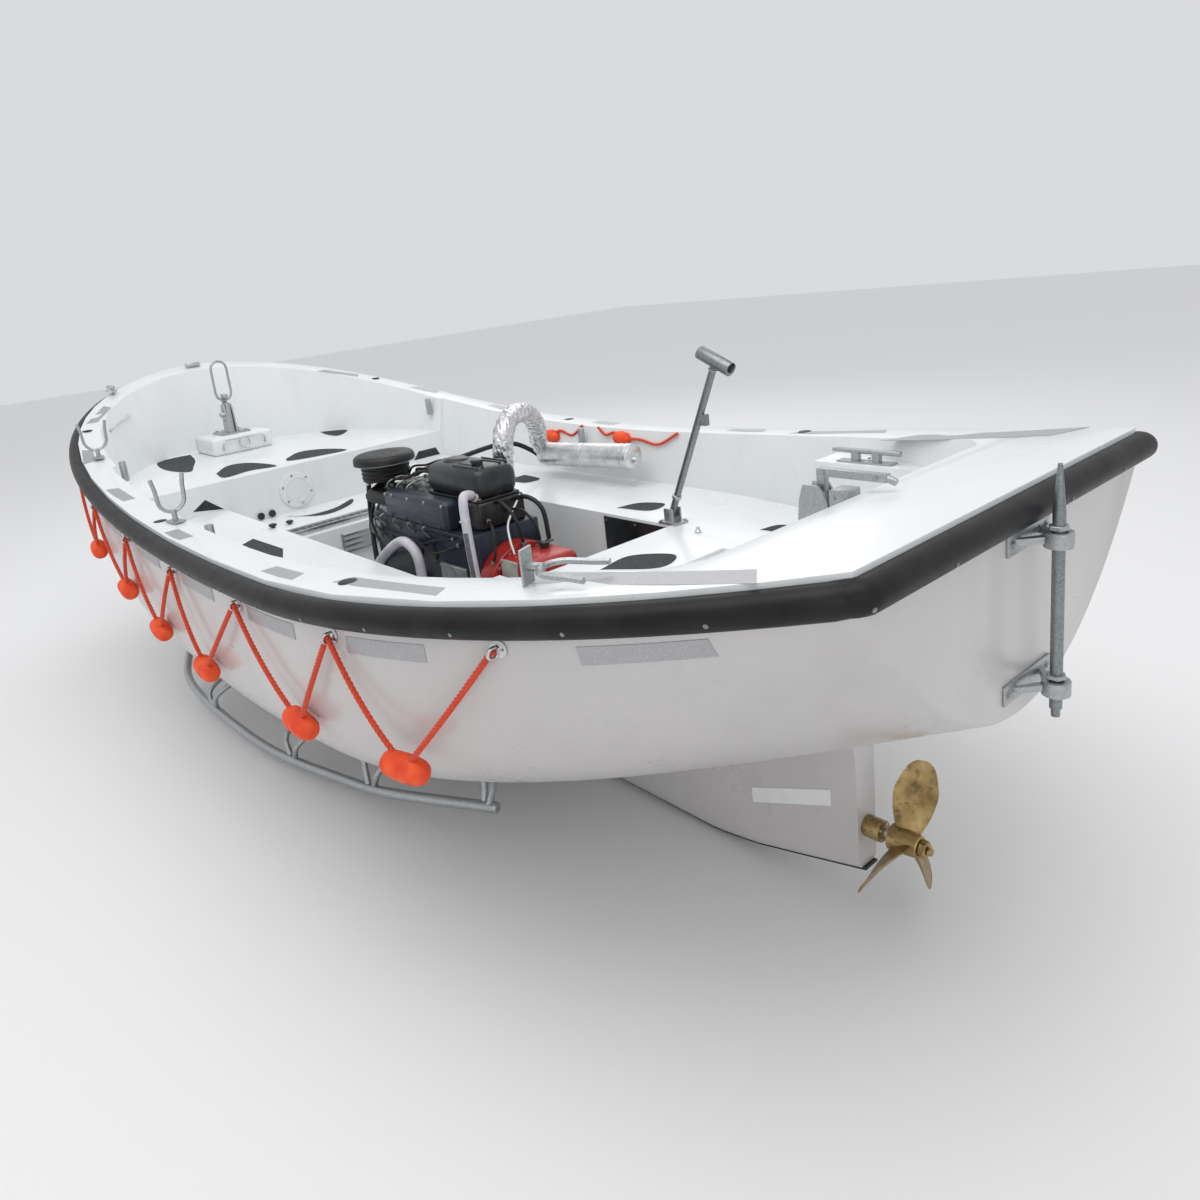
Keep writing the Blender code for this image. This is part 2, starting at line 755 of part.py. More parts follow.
def make_aft_hook():
    """The aft lifting hook: base, cheeks and the release box behind them."""
    x = AFT_HOOK_X
    foot = AFT_HOOK_FOOT
    low = (x - 0.085, -0.095, foot + GAP)
    base = box("aft_hook_frame", low, (x + 0.085, 0.095, foot + 0.012), galvanised())
    bridge = box("aft_hook_bridge", (x - 0.012, -0.024, foot + 0.02), (x + 0.012, 0.024, foot + 0.10))
    case = box("aft_hook_case", (x - 0.118, -0.032, foot + 0.085), (x - 0.062, 0.032, foot + 0.190))
    strap = box("aft_hook_strap", (x - 0.075, -0.028, foot + 0.005), (x - 0.062, 0.028, foot + 0.12))
    return join(base, hook_cheeks("aft_hook", x, foot, 0.068) + [bridge, case, strap])


def make_aft_lever():
    """The release lever over the aft hook: it turns on the pin between the cheeks."""
    x = AFT_LEVER_X
    z = AFT_LEVER_HEIGHT
    arm = box("aft_hook_lever", (x - 0.200, -0.011, z + 0.030), (x + 0.012, 0.011, z + 0.052), galvanised())
    heel = box("lever_heel", (x - 0.012, -0.011, z - 0.013), (x + 0.012, 0.011, z + 0.040))
    tip = cylinder("lever_tip", (x - 0.195, 0, z + 0.041), (x - 0.222, 0, z + 0.032), 0.010, None, 12)
    return join(move_origin(arm, (x, 0.0, z)), [heel, tip])


def make_folding_post():
    """The folding post with a short tube across its top that takes a spar."""
    direction = Vector((-math.sin(POST_LEAN), 0, math.cos(POST_LEAN)))
    foot = Vector((POST_X, POST_Y, BENCH_HEIGHT + PIVOT_HEIGHT))
    top = foot + direction * POST_LENGTH
    post = cylinder("folding_post", foot - direction * 0.016, top, 0.0145, galvanised(), 16)
    along = Vector((-math.cos(POST_LEAN), 0, -math.sin(POST_LEAN)))
    head = cylinder("post_head", top - along * 0.078, top + along * 0.078, 0.027, None, 20)
    middle = top + direction * 0.006
    bore = cylinder("cut_post_head", middle - along * 0.10, middle + along * 0.10, 0.020)
    hook_root = foot + direction * 0.44
    plate_low = hook_root + Vector((0, -0.010, -0.022))
    hook = box("post_hook", plate_low + Vector((-0.045, 0, 0)), plate_low + Vector((0, 0.020, 0.044)))
    join(move_origin(post, foot), [head, hook])
    return cut(post, [bore])


def make_post_foot():
    """The clevis that the post folds in."""
    low = BENCH_HEIGHT
    corner = (POST_X - 0.05, POST_Y - 0.038, low + GAP)
    base = box("folding_post_foot", corner, (POST_X + 0.05, POST_Y + 0.038, low + 0.010), galvanised())
    ears = []
    for side in (-1, 1):
        y = POST_Y + side * 0.024
        ears.append(box("post_ear_%d" % (side + 1), (POST_X - 0.024, y - 0.004, low + 0.005),
                        (POST_X + 0.024, y + 0.004, low + 0.066)))
    return join(base, ears)


def make_pedestals():
    """The white blocks under both lifting hooks."""
    low = (PEDESTAL_FACE_X, -0.20, BOW_SEAT_HEIGHT + GAP)
    box("fore_hook_pedestal", low, (2.50, 0.20, FORE_HOOK_FOOT), gelcoat(), 0.015)
    low = (-2.415, -0.16, BENCH_HEIGHT + GAP)
    box("aft_hook_pedestal", low, (-2.24, 0.16, AFT_HOOK_FOOT), gelcoat(), 0.015)


def make_pedestal_handle():
    """The bent rod with a ring on the pedestal's aft face."""
    face = PEDESTAL_FACE_X
    x = face - 0.020
    corner = ((face - 0.0005, 0.14, 0.50), (x, 0.14, 0.50), (x, 0.14, 0.535), (x, 0.12, 0.555))
    points = list(corner) + [(px, -py, pz) for px, py, pz in corner[::-1]]
    rod = tube("pedestal_handle", points, 0.005, stainless(), sides=1)
    ring_points = []
    for step in range(12):
        angle = 2 * math.pi * step / 12
        ring_points.append((x, 0.035 * math.cos(angle), 0.5235 + 0.035 * math.sin(angle)))
    ring = tube("pedestal_ring", ring_points, 0.004, None, closed=True, sides=1)
    return join(rod, [ring])


def make_inspection_plate():
    """The round screw-in plate in the bow seat's aft face."""
    front = (BOW_SEAT_X - 0.010, 0.07, 0.315)
    return cylinder("inspection_plate", (BOW_SEAT_X - GAP, 0.07, 0.315), front, 0.105, gelcoat(), 28)


def make_well_side_panel():
    """The dark access panel on the well's starboard wall."""
    wall = -WELL_HALF_WIDTH + GAP
    top = (-0.86, wall + 0.006, BENCH_HEIGHT - 0.012)
    return box("well_side_panel", (WELL_AFT_X + 0.008, wall, -0.08), top, black_rubber())


def make_step_channel():
    """The dark slotted channel across the step."""
    x = 0.66
    z = STEP_HEIGHT
    channel = box("step_channel", (x - 0.05, -0.478, z + GAP), (x + 0.05, 0.42, z + 0.028), stainless())
    return cut(channel, [box("cut_channel", (x - 0.036, -0.465, z + 0.008), (x + 0.036, 0.407, z + 0.05))])


def make_engine():
    """The diesel on its two bearers, as plain blocks of its main castings."""
    floor = WELL_FLOOR
    sole = floor + GAP
    seat = floor + 0.12 + 2 * GAP
    for side, name in ((1, "engine_bearer_port"), (-1, "engine_bearer_starboard")):
        y = side * 0.22
        top = (ENGINE_FRONT_X + 0.08, y + 0.03, floor + 0.12)
        box(name, (ENGINE_BACK_X - 0.32, y - 0.03, sole), top, gelcoat())
    low = (ENGINE_BACK_X, -0.165, seat)
    block = box("engine_block", low, (ENGINE_FRONT_X, 0.165, 0.36), blue_paint(), 0.012)
    feet = []
    for x in (ENGINE_BACK_X + 0.12, ENGINE_FRONT_X - 0.12):
        for side in (-1, 1):
            ends = sorted((side * 0.14, side * 0.25))
            low = (x - 0.04, ends[0], seat)
            feet.append(box("engine_foot_%d_%d" % (x * 100, side), low, (x + 0.04, ends[1], floor + 0.15)))
    join(block, feet)
    low = (ENGINE_BACK_X + 0.02, -0.12, 0.3603)
    box("engine_head", low, (ENGINE_FRONT_X - 0.06, 0.12, 0.475), black_paint(), 0.01)
    box("rocker_cover", (-0.78, -0.11, 0.4753), (-0.36, 0.11, 0.615), black_paint(), 0.045)
    front = ENGINE_FRONT_X + GAP
    crank = CRANK_HEIGHT
    cylinder("front_pulley", (front, 0, crank), (front + 0.05, 0, crank), 0.095, black_paint(), 28)
    back = ENGINE_BACK_X - GAP
    cylinder("flywheel_housing", (back, 0, 0.11), (back - 0.09, 0, 0.11), 0.19, red_paint(), 32)
    box("gearbox", (back - 0.30, -0.125, -0.06), (back - 0.0903, 0.125, 0.275), red_paint(), 0.03)
    x = FILTER_X
    y = FILTER_Y
    cleaner = cylinder("air_filter", (x, y, 0.49), (x, y, 0.575), 0.115, black_rubber(), 32)
    rim = cylinder("filter_rim", (x, y, 0.57), (x, y, 0.612), 0.148, None, 32, 0.134)
    stalk = cylinder("filter_stalk", (x, y, 0.46), (x, y, 0.50), 0.035)
    route = [(x, y, 0.468), (x, y + 0.05, 0.440), (x - 0.04, 0.165, 0.430), (-0.1335, 0.165, 0.430)]
    bend = tube("filter_bend", route, 0.032)
    join(cleaner, [rim, stalk, bend])
    box("intake_manifold", (-0.66, 0.1203, 0.3606), (-0.1345, 0.21, 0.49), black_paint(), 0.02)
    return block


def make_exhaust():
    """The lagged exhaust pipe that arches over to the silencer at the starboard side."""
    points = [
        (-0.495, -0.22, 0.478), (-0.523, -0.22, 0.615), (-0.511, -0.25, 0.700), (-0.451, -0.34, 0.742),
        (-0.370, -0.46, 0.735), (-0.260, -0.60, 0.680), (-0.134, -0.72, 0.590), (-0.03, -0.80, 0.500),
    ]
    tube("exhaust_pipe", points, 0.045, foil(), smooth=True, sides=4, steps=5)
    foot = [(-0.495, -0.1255, 0.405), (-0.495, -0.19, 0.412), (-0.495, -0.219, 0.435), (-0.495, -0.22, 0.468)]
    tube("exhaust_elbow", foot, 0.030, galvanised())
    can = cylinder("silencer", (0.03, -0.88, 0.412), (-0.66, -0.88, 0.452), 0.062, foil(), 24)
    inlet = cylinder("silencer_inlet", (0.0256, -0.843, 0.452), (-0.0274, -0.802, 0.4977), 0.036, None, 16)
    outlet = cylinder("silencer_outlet", (-0.65, -0.88, 0.430), (-0.695, -0.88, 0.432), 0.022, None, 12)
    join(can, [inlet, outlet])


def make_hoses():
    """The hoses at the engine's port side and the long one across to the silencer."""
    loop = [
        (0.02, 0.255, 0.0), (-0.04, 0.26, 0.105), (-0.19, 0.26, 0.218), (-0.33, 0.26, 0.288),
        (-0.41, 0.26, 0.285), (-0.465, 0.26, 0.24), (-0.472, 0.258, 0.14), (-0.465, 0.255, 0.0),
    ]
    tube("coolant_hose", loop, 0.022, grey_hose(), smooth=True, sides=2, steps=3)
    drop = [
        (-0.765, 0.12, 0.505), (-0.785, 0.165, 0.530), (-0.80, 0.20, 0.505),
        (-0.83, 0.215, 0.30), (-0.865, 0.22, 0.02),
    ]
    tube("sight_tube", drop, 0.019, grey_hose(), sides=2)
    drop = [(0.20, 0.10, 0.487), (0.235, 0.10, 0.34), (0.262, 0.10, 0.12), (0.262, 0.10, -0.10)]
    tube("fuel_hose", drop, 0.012, black_rubber(), smooth=True, sides=1)
    across = [
        (0.03, -0.10, 0.425), (0.16, -0.12, 0.448), (0.195, -0.25, 0.464), (0.186, -0.40, 0.474),
        (0.15, -0.62, 0.500), (0.145, -0.76, 0.485), (0.125, -0.85, 0.435), (0.080, -0.88, 0.397),
        (0.0315, -0.885, 0.392),
    ]
    tube("silencer_hose", across, 0.013, black_rubber(), smooth=True, sides=1, steps=3)


RAIL_TABLE = (
    # x, y and z of the tube's middle
    (1.16, 0.86, -0.40), (1.02, 0.93, -0.47), (0.81, 0.955, -0.50), (0.55, 0.953, -0.52),
    (-0.05, 0.919, -0.54), (-0.65, 0.813, -0.52), (-0.95, 0.77, -0.47), (-1.40, 0.618, -0.412),
)
RAIL_BRACKETS = (
    # x, y and z at the tube, then x where the aft and the fore leg meet the hull
    (0.55, 0.953, -0.520, 0.47, 0.64), (-0.23, 0.887, -0.534, -0.34, -0.12),
    (-0.78, 0.794, -0.498, -0.89, -0.67), (-1.36, 0.632, -0.418, -1.41, -1.29),
)


def make_bilge_rail(name, side):
    """The tube rail under the bilge with its V brackets, cut off where they meet the hull."""
    route = [(x, side * y, z) for x, y, z in RAIL_TABLE]
    rail = tube(name, route, 0.020, galvanised(), smooth=True, sides=2, steps=3)
    legs = []
    for number, (x, y, z, aft, fore) in enumerate(RAIL_BRACKETS):
        for word, foot in (("aft", aft), ("fore", fore)):
            root = Vector((foot, side * (y - 0.05), z + 0.17))
            leg = "%s_%s_leg_%d" % (name, word, number)
            legs.append(cylinder(leg, (x, side * y, z), root, 0.012, None, 8))
    join(rail, legs)
    return cut(rail, [form_cutter("cut_hull_over_" + name)])


LINE_EYES = (1.60, 1.015, 0.39, -0.25, -0.94, -1.59, -2.18)
LINE_FLOATS = (
    # x and z of each float, which hangs just clear of the hull
    (1.17, 0.272), (0.52, 0.20), (0.105, 0.10), (-0.46, 0.08), (-1.33, 0.144), (-1.836, 0.155),
)
LINE_RADIUS = 0.008
EYE_BELOW_SHEER = 0.070


def line_eye(x, side):
    return Vector((x, side * (half_beam(x) + 0.018), sheer(x) - EYE_BELOW_SHEER))


def make_lifeline(name, side):
    """The grab line in bights from eye to eye, with a float at the foot of each bight."""
    points = [line_eye(LINE_EYES[0], side)]
    floats = []
    for number, (x, z) in enumerate(LINE_FLOATS):
        out = max(half_beam(x) + 0.020, hull_half_breadth(x, z) + 0.040)
        low = Vector((x, side * out, z))
        points += [low + Vector((0.055, 0, 0.008)), low + Vector((-0.055, 0, 0.008))]
        points.append(line_eye(LINE_EYES[number + 1], side))
        floats.append(ball("%s_float_%d" % (name, number), low, 0.044, None, (1.75, 0.8, 1.0), 6))
    line = tube(name, points, LINE_RADIUS, orange_rope(), sides=1)
    return join(line, floats)


def make_crutch(name, place, turn, lying=False):
    """An oar crutch: foot, stem, fork and two horns."""
    points = [(0, -0.066, 0.190), (0, -0.058, 0.145), (0, -0.056, 0.115)]
    for step in range(9):
        angle = math.radians(195 + 150 * step / 8)
        points.append((0.0, 0.056 * math.cos(angle), 0.100 + 0.056 * math.sin(angle)))
    points += [(0, 0.056, 0.115), (0, 0.058, 0.145), (0, 0.066, 0.190)]
    horns = tube(name, points, 0.0085, galvanised(), sides=1)
    stem = cylinder(name + "_stem", (0, 0, 0.002), (0, 0, 0.050), 0.011, None, 12)
    foot = box(name + "_foot", (-0.045, -0.024, 0.0003), (0.045, 0.024, 0.006))
    down = Matrix.Rotation(math.pi / 2, 4, "Y") if lying else Matrix.Identity(4)
    frame = Matrix.Translation(place) @ Matrix.Rotation(turn, 4, "Z") @ down
    for piece in (horns, stem, foot):
        piece.matrix_basis = frame @ piece.matrix_basis
    return join(horns, [stem, foot])


def deck_height(x):
    """The top of the side deck, which runs straight from station to station."""
    aft = max(station for station in STATIONS if station <= x)
    fore = min(station for station in STATIONS if station > x)
    share = (x - aft) / (fore - aft)
    return sheer(aft) + (sheer(fore) - sheer(aft)) * share + RIM_ABOVE_SHEER


def make_cleat(name, place):
    """A horn cleat: base plate, two legs and the bar across them."""
    x, y, z = place
    base = box(name, (x - 0.11, y - 0.022, z), (x + 0.11, y + 0.022, z + 0.006), galvanised())
    parts = [cylinder(name + "_bar", (x - 0.135, y, z + 0.042), (x + 0.135, y, z + 0.042), 0.010, None, 12)]
    for side in (-1, 1):
        middle = x + side * 0.042
        low = (middle - 0.014, y - 0.011, z + 0.004)
        parts.append(box("%s_leg_%d" % (name, side + 1), low, (middle + 0.014, y + 0.011, z + 0.045)))
    return join(base, parts)


def make_fittings():
    """What stands on the gunwale and the stern deck."""
    make_crutch("crutch_port", (0.0, 1.078, deck_height(0.05) + 0.0005), math.radians(8))
    make_crutch("crutch_bow_port", (1.40, 1.022, deck_height(1.45) + 0.0005), math.radians(-10))
    make_crutch("crutch_lying", (-2.155, 0.895, deck_height(-2.26) + 0.036), math.radians(201), lying=True)
    x = 2.86
    z = deck_height(x)
    box("stem_fairlead", (x - 0.05, -0.05, z + 0.0005), (x, 0.05, z + 0.024), stainless(), 0.008)
    x = 2.56
    z = deck_height(x + 0.05)
    chock = box("bow_chock", (x - 0.05, 0.60, z + 0.0005), (x + 0.05, 0.65, z + 0.014), stainless(), 0.004)
    bar = z + 0.030
    horn = cylinder("bow_chock_horn", (x - 0.062, 0.625, bar), (x + 0.062, 0.625, bar), 0.013, None, 12)
    post = box("bow_chock_post", (x - 0.022, 0.612, z + 0.005), (x + 0.022, 0.638, z + 0.030))
    join(chock, [horn, post])
    make_cleat("mooring_cleat", (-1.995, -0.777, LEDGE_HEIGHT + 0.0003))
    for x, word in ((1.29, "fore"), (-0.15, "aft")):
        for side, hand in ((1, "port"), (-1, "starboard")):
            z = deck_height(x)
            y = side * (wall_half_breadth(x + 0.02, z - 0.11) - 0.024)
            socket = "canopy_socket_%s_%s" % (word, hand)
            cylinder(socket, (x, y, z - 0.11), (x, y, z - 0.005), 0.018, galvanised(), 14)


def build():
    make_hull_shell()
    make_inner_moulding()
    make_skeg()
    make_skeg_shoe()
    make_fender()
    make_stern_bearing()
    make_propeller_shaft()
    make_propeller()
    make_rudder_stock()
    make_gudgeon("upper_gudgeon", 0.636, 0.056, 0.105)
    make_gudgeon("lower_gudgeon", 0.270, 0.050, 0.120)
    make_pedestals()
    make_fore_hook()
    make_fore_link()
    make_pedestal_handle()
    make_aft_hook()
    make_aft_lever()
    make_post_foot()
    make_folding_post()
    make_inspection_plate()
    make_well_side_panel()
    make_step_channel()
    make_engine()
    make_exhaust()
    make_hoses()
    make_bilge_rail("bilge_rail_port", 1)
    make_bilge_rail("bilge_rail_starboard", -1)
    make_lifeline("lifeline_port", 1)
    make_lifeline("lifeline_starboard", -1)
    make_fittings()


build()
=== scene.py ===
import math

import bmesh
import bpy
import numpy as np
from mathutils import Matrix, Vector


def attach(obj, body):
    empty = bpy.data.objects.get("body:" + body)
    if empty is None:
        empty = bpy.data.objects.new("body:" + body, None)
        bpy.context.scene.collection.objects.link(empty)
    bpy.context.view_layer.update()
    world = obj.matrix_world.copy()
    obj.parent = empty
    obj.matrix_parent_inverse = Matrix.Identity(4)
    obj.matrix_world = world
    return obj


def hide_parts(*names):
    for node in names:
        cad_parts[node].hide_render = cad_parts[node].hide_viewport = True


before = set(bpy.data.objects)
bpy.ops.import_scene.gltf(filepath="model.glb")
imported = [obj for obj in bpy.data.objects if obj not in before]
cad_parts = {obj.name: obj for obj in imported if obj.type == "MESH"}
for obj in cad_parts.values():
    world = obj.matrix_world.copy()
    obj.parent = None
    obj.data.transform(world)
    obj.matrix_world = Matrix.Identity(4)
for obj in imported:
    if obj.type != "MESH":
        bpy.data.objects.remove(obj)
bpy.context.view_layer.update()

print("stage: frame loaded,", len(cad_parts), "nodes")

# the camera stands on the port quarter, where the photograph was taken
viewpoint = {
    "place": (-3.7997, 2.0569, 1.3438),
    "right": (-0.63245, -0.76560, -0.11776),
    "up": (0.11787, -0.24538, 0.96224),
    "ahead": (0.76558, -0.59469, -0.24543),
    "lens": 26.992,
    "shiftX": 0.03569,
    "shiftY": -0.07983,
    "nearest": 0.05,
    "farthest": 200.0,
}


def makeCamera():
    data = bpy.data.cameras.new("camera")
    data.sensor_width = 36.0
    data.lens = viewpoint["lens"]
    data.shift_x = viewpoint["shiftX"]
    data.shift_y = viewpoint["shiftY"]
    data.clip_start = viewpoint["nearest"]
    data.clip_end = viewpoint["farthest"]
    camera = bpy.data.objects.new("camera", data)
    bpy.context.scene.collection.objects.link(camera)
    back = [-value for value in viewpoint["ahead"]]
    facing = Matrix((viewpoint["right"], viewpoint["up"], back)).transposed()
    camera.matrix_world = Matrix.Translation(viewpoint["place"]) @ facing.to_4x4()
    bpy.context.scene.camera = camera


# a pale floor just under the skeg, an even sky and three large soft lamps
studio = {
    "floorHeight": -0.602,
    "floorReach": 30.0,
    "floorColour": (0.86, 0.86, 0.86),
    "floorRoughness": 0.9,
    "skyColour": (0.97, 0.98, 1.0),
    "skyStrength": 0.72,
    "lamps": (
        {"name": "overheadKey", "place": (-1.5, 1.5, 6.5), "aim": (0, 0, 0),
         "size": (7.0, 5.0), "power": 210.0},
        {"name": "sternFill", "place": (-8.0, 4.0, 3.0), "aim": (0, 0, 0.2),
         "size": (4.0, 3.0), "power": 40.0},
        {"name": "bowLight", "place": (4.0, -5.0, 5.0), "aim": (0.5, 0, 0.3),
         "size": (5.0, 4.0), "power": 90.0},
    ),
}


def makeLamp(name, place, aim, size, power):
    data = bpy.data.lights.new(name, "AREA")
    data.shape = "RECTANGLE"
    data.size, data.size_y = size
    data.energy = power
    lamp = bpy.data.objects.new(name, data)
    bpy.context.scene.collection.objects.link(lamp)
    lamp.location = place
    lamp.rotation_euler = (Vector(aim) - Vector(place)).to_track_quat("-Z", "Y").to_euler()


def makeFloor():
    reach, level = studio["floorReach"], studio["floorHeight"]
    corners = [(-reach, -reach, level), (reach, -reach, level), (reach, reach, level), (-reach, reach, level)]
    mesh = bpy.data.meshes.new("studioFloor")
    mesh.from_pydata(corners, [], [(0, 1, 2, 3)])
    floor = bpy.data.objects.new("studioFloor", mesh)
    bpy.context.scene.collection.objects.link(floor)
    plaster = bpy.data.materials.new("palePlaster")
    plaster.use_nodes = True
    surface = plaster.node_tree.nodes["Principled BSDF"]
    surface.inputs["Base Color"].default_value = (*studio["floorColour"], 1.0)
    surface.inputs["Roughness"].default_value = studio["floorRoughness"]
    mesh.materials.append(plaster)


def makeStudio():
    makeFloor()
    world = bpy.data.worlds.new("paleSky")
    world.use_nodes = True
    sky = world.node_tree.nodes["Background"]
    sky.inputs["Color"].default_value = (*studio["skyColour"], 1.0)
    sky.inputs["Strength"].default_value = studio["skyStrength"]
    bpy.context.scene.world = world
    for lamp in studio["lamps"]:
        makeLamp(**lamp)
    bpy.context.scene.view_settings.view_transform = "Standard"


makeCamera()
makeStudio()
print("stage: camera and studio made")


# finishes: each is a small node tree on the object's own coordinates
black = (0, 0, 0)


def grey(value):
    return (value, value, value)


def newFinish(name):
    material = bpy.data.materials.new(name)
    material.use_nodes = True
    tree = material.node_tree
    coords = tree.nodes.new("ShaderNodeTexCoord")
    return material, tree, tree.nodes["Principled BSDF"], coords.outputs["Object"]


def noiseOf(tree, coords, scale, detail=4.0, stretch=None, roughness=0.55):
    if stretch is not None:
        mapping = tree.nodes.new("ShaderNodeMapping")
        mapping.inputs["Scale"].default_value = stretch
        tree.links.new(coords, mapping.inputs["Vector"])
        coords = mapping.outputs["Vector"]
    noise = tree.nodes.new("ShaderNodeTexNoise")
    noise.inputs["Scale"].default_value = scale
    noise.inputs["Detail"].default_value = detail
    noise.inputs["Roughness"].default_value = roughness
    tree.links.new(coords, noise.inputs["Vector"])
    return noise.outputs["Fac"]


def cellsOf(tree, coords, scale, output="Color", feature="F1"):
    cells = tree.nodes.new("ShaderNodeTexVoronoi")
    cells.feature = feature
    cells.inputs["Scale"].default_value = scale
    tree.links.new(coords, cells.inputs["Vector"])
    return cells.outputs[output]


def cellEdges(tree, coords, scale):
    return cellsOf(tree, coords, scale, "Distance", "DISTANCE_TO_EDGE")


def rampOf(tree, source, low, high, start=0.35, end=0.65):
    ramp = tree.nodes.new("ShaderNodeValToRGB")
    for stop, place, colour in zip(ramp.color_ramp.elements, (start, end), (low, high)):
        stop.position = place
        stop.color = (*colour, 1.0)
    tree.links.new(source, ramp.inputs["Fac"])
    return ramp.outputs["Color"]


def mixOf(tree, share, low, high):
    mix = tree.nodes.new("ShaderNodeMix")
    mix.data_type = "RGBA"
    tree.links.new(share, mix.inputs["Factor"])
    for name, value in (("A", low), ("B", high)):
        socket = [one for one in mix.inputs if one.name == name and one.type == "RGBA"][0]
        if isinstance(value, tuple):
            socket.default_value = (*value, 1.0)
        else:
            tree.links.new(value, socket)
    return [one for one in mix.outputs if one.type == "RGBA"][0]


def setRoughness(tree, surface, source, low, high):
    span = tree.nodes.new("ShaderNodeMapRange")
    span.inputs["To Min"].default_value = low
    span.inputs["To Max"].default_value = high
    tree.links.new(source, span.inputs["Value"])
    tree.links.new(span.outputs["Result"], surface.inputs["Roughness"])


def setRelief(tree, surface, source, strength, distance, before=None):
    bump = tree.nodes.new("ShaderNodeBump")
    bump.inputs["Strength"].default_value = strength
    bump.inputs["Distance"].default_value = distance
    tree.links.new(source, bump.inputs["Height"])
    if before is not None:
        tree.links.new(before, bump.inputs["Normal"])
    tree.links.new(bump.outputs["Normal"], surface.inputs["Normal"])
    return bump.outputs["Normal"]


def mottled(name, low, high, scale, rough, metallic=0.0, relief=0.15, reliefScale=90.0, depth=0.001,
            coat=0.0, gloss=0.5):
    # two close colours mixed by noise, with their own roughness and a fine relief
    material, tree, surface, coords = newFinish(name)
    colour = rampOf(tree, noiseOf(tree, coords, scale, 5.0), low, high)
    tree.links.new(colour, surface.inputs["Base Color"])
    setRoughness(tree, surface, noiseOf(tree, coords, scale * 2.3, 3.0), *rough)
    setRelief(tree, surface, noiseOf(tree, coords, reliefScale, 3.0), relief, depth)
    surface.inputs["Metallic"].default_value = metallic
    surface.inputs["Coat Weight"].default_value = coat
    surface.inputs["Specular IOR Level"].default_value = gloss
    return material


def gelcoatFinish(name, clean, worn, grime, streak):
    # moulded gelcoat: faint clouds, thin run-off streaks and the print of the glass mat under the gloss
    material, tree, surface, coords = newFinish(name)
    clouds = rampOf(tree, noiseOf(tree, coords, 1.7, 4.0), clean, worn, 0.3, 0.72)
    runs = rampOf(tree, noiseOf(tree, coords, 7.0, 5.0, (1.0, 1.0, 0.12)), black, grey(streak), 0.52, 0.80)
    colour = mixOf(tree, runs, clouds, grime)
    specks = rampOf(tree, noiseOf(tree, coords, 120.0, 2.0), black, grey(0.10), 0.66, 0.74)
    tree.links.new(mixOf(tree, specks, colour, grime), surface.inputs["Base Color"])
    setRoughness(tree, surface, noiseOf(tree, coords, 5.0, 4.0), 0.20, 0.40)
    waves = setRelief(tree, surface, noiseOf(tree, coords, 3.5, 2.0), 0.12, 0.012)
    setRelief(tree, surface, noiseOf(tree, coords, 160.0, 2.0), 0.06, 0.0006, waves)
    surface.inputs["Coat Weight"].default_value = 0.25
    surface.inputs["Coat Roughness"].default_value = 0.12
    return material


def galvanisedFinish(name, low, high, scale):
    # hot-dip zinc: crystals of slightly different greys under a dull bloom
    material, tree, surface, coords = newFinish(name)
    crystals = rampOf(tree, cellsOf(tree, coords, scale), low, high, 0.1, 0.9)
    bloom = rampOf(tree, noiseOf(tree, coords, 22.0, 5.0), black, grey(0.55), 0.45, 0.75)
    dull = tuple((a + b) * 0.48 for a, b in zip(low, high))
    tree.links.new(mixOf(tree, bloom, crystals, dull), surface.inputs["Base Color"])
    setRoughness(tree, surface, noiseOf(tree, coords, 60.0, 3.0), 0.30, 0.52)
    setRelief(tree, surface, noiseOf(tree, coords, 210.0, 3.0), 0.25, 0.0006)
    surface.inputs["Metallic"].default_value = 0.92
    return material


def foilFinish():
    # crumpled foil: sharp folds of two sizes, bright where it faces the light
    material, tree, surface, coords = newFinish("crumpledFoil")
    folds = cellEdges(tree, coords, 24.0)
    colour = rampOf(tree, noiseOf(tree, coords, 26.0, 6.0), (0.50, 0.50, 0.52), grey(0.90))
    tree.links.new(colour, surface.inputs["Base Color"])
    setRoughness(tree, surface, noiseOf(tree, coords, 40.0, 3.0), 0.16, 0.34)
    large = setRelief(tree, surface, folds, 0.8, 0.010)
    setRelief(tree, surface, noiseOf(tree, coords, 60.0, 5.0, None, 0.6), 0.5, 0.004, large)
    surface.inputs["Metallic"].default_value = 0.95
    return material


def ropeFinish():
    # laid synthetic rope: bright fibres with a little dirt
    material, tree, surface, coords = newFinish("orangeRope")
    fibres = rampOf(tree, noiseOf(tree, coords, 420.0, 2.0), (0.60, 0.030, 0.006), (0.90, 0.085, 0.018),
                    0.35, 0.62)
    dirt = rampOf(tree, noiseOf(tree, coords, 14.0, 4.0), black, grey(0.45), 0.5, 0.8)
    tree.links.new(mixOf(tree, dirt, fibres, (0.40, 0.05, 0.03)), surface.inputs["Base Color"])
    setRelief(tree, surface, noiseOf(tree, coords, 520.0, 2.0), 0.5, 0.0006)
    surface.inputs["Roughness"].default_value = 0.78
    surface.inputs["Sheen Weight"].default_value = 0.25
    return material


def tapeFinish():
    # retro-reflective tape: small sealed cells in silver, a shade darker along scuffs
    material, tree, surface, coords = newFinish("reflectiveTape")
    cells = rampOf(tree, cellEdges(tree, coords, 190.0), (0.52, 0.52, 0.53), (0.40, 0.40, 0.42), 0.02, 0.10)
    scuffs = rampOf(tree, noiseOf(tree, coords, 30.0, 5.0), black, grey(0.5), 0.5, 0.75)
    tree.links.new(mixOf(tree, scuffs, cells, (0.50, 0.49, 0.50)), surface.inputs["Base Color"])
    setRoughness(tree, surface, noiseOf(tree, coords, 80.0, 3.0), 0.34, 0.5)
    setRelief(tree, surface, cellEdges(tree, coords, 190.0), 0.3, 0.0004)
    surface.inputs["Metallic"].default_value = 0.55
    return material


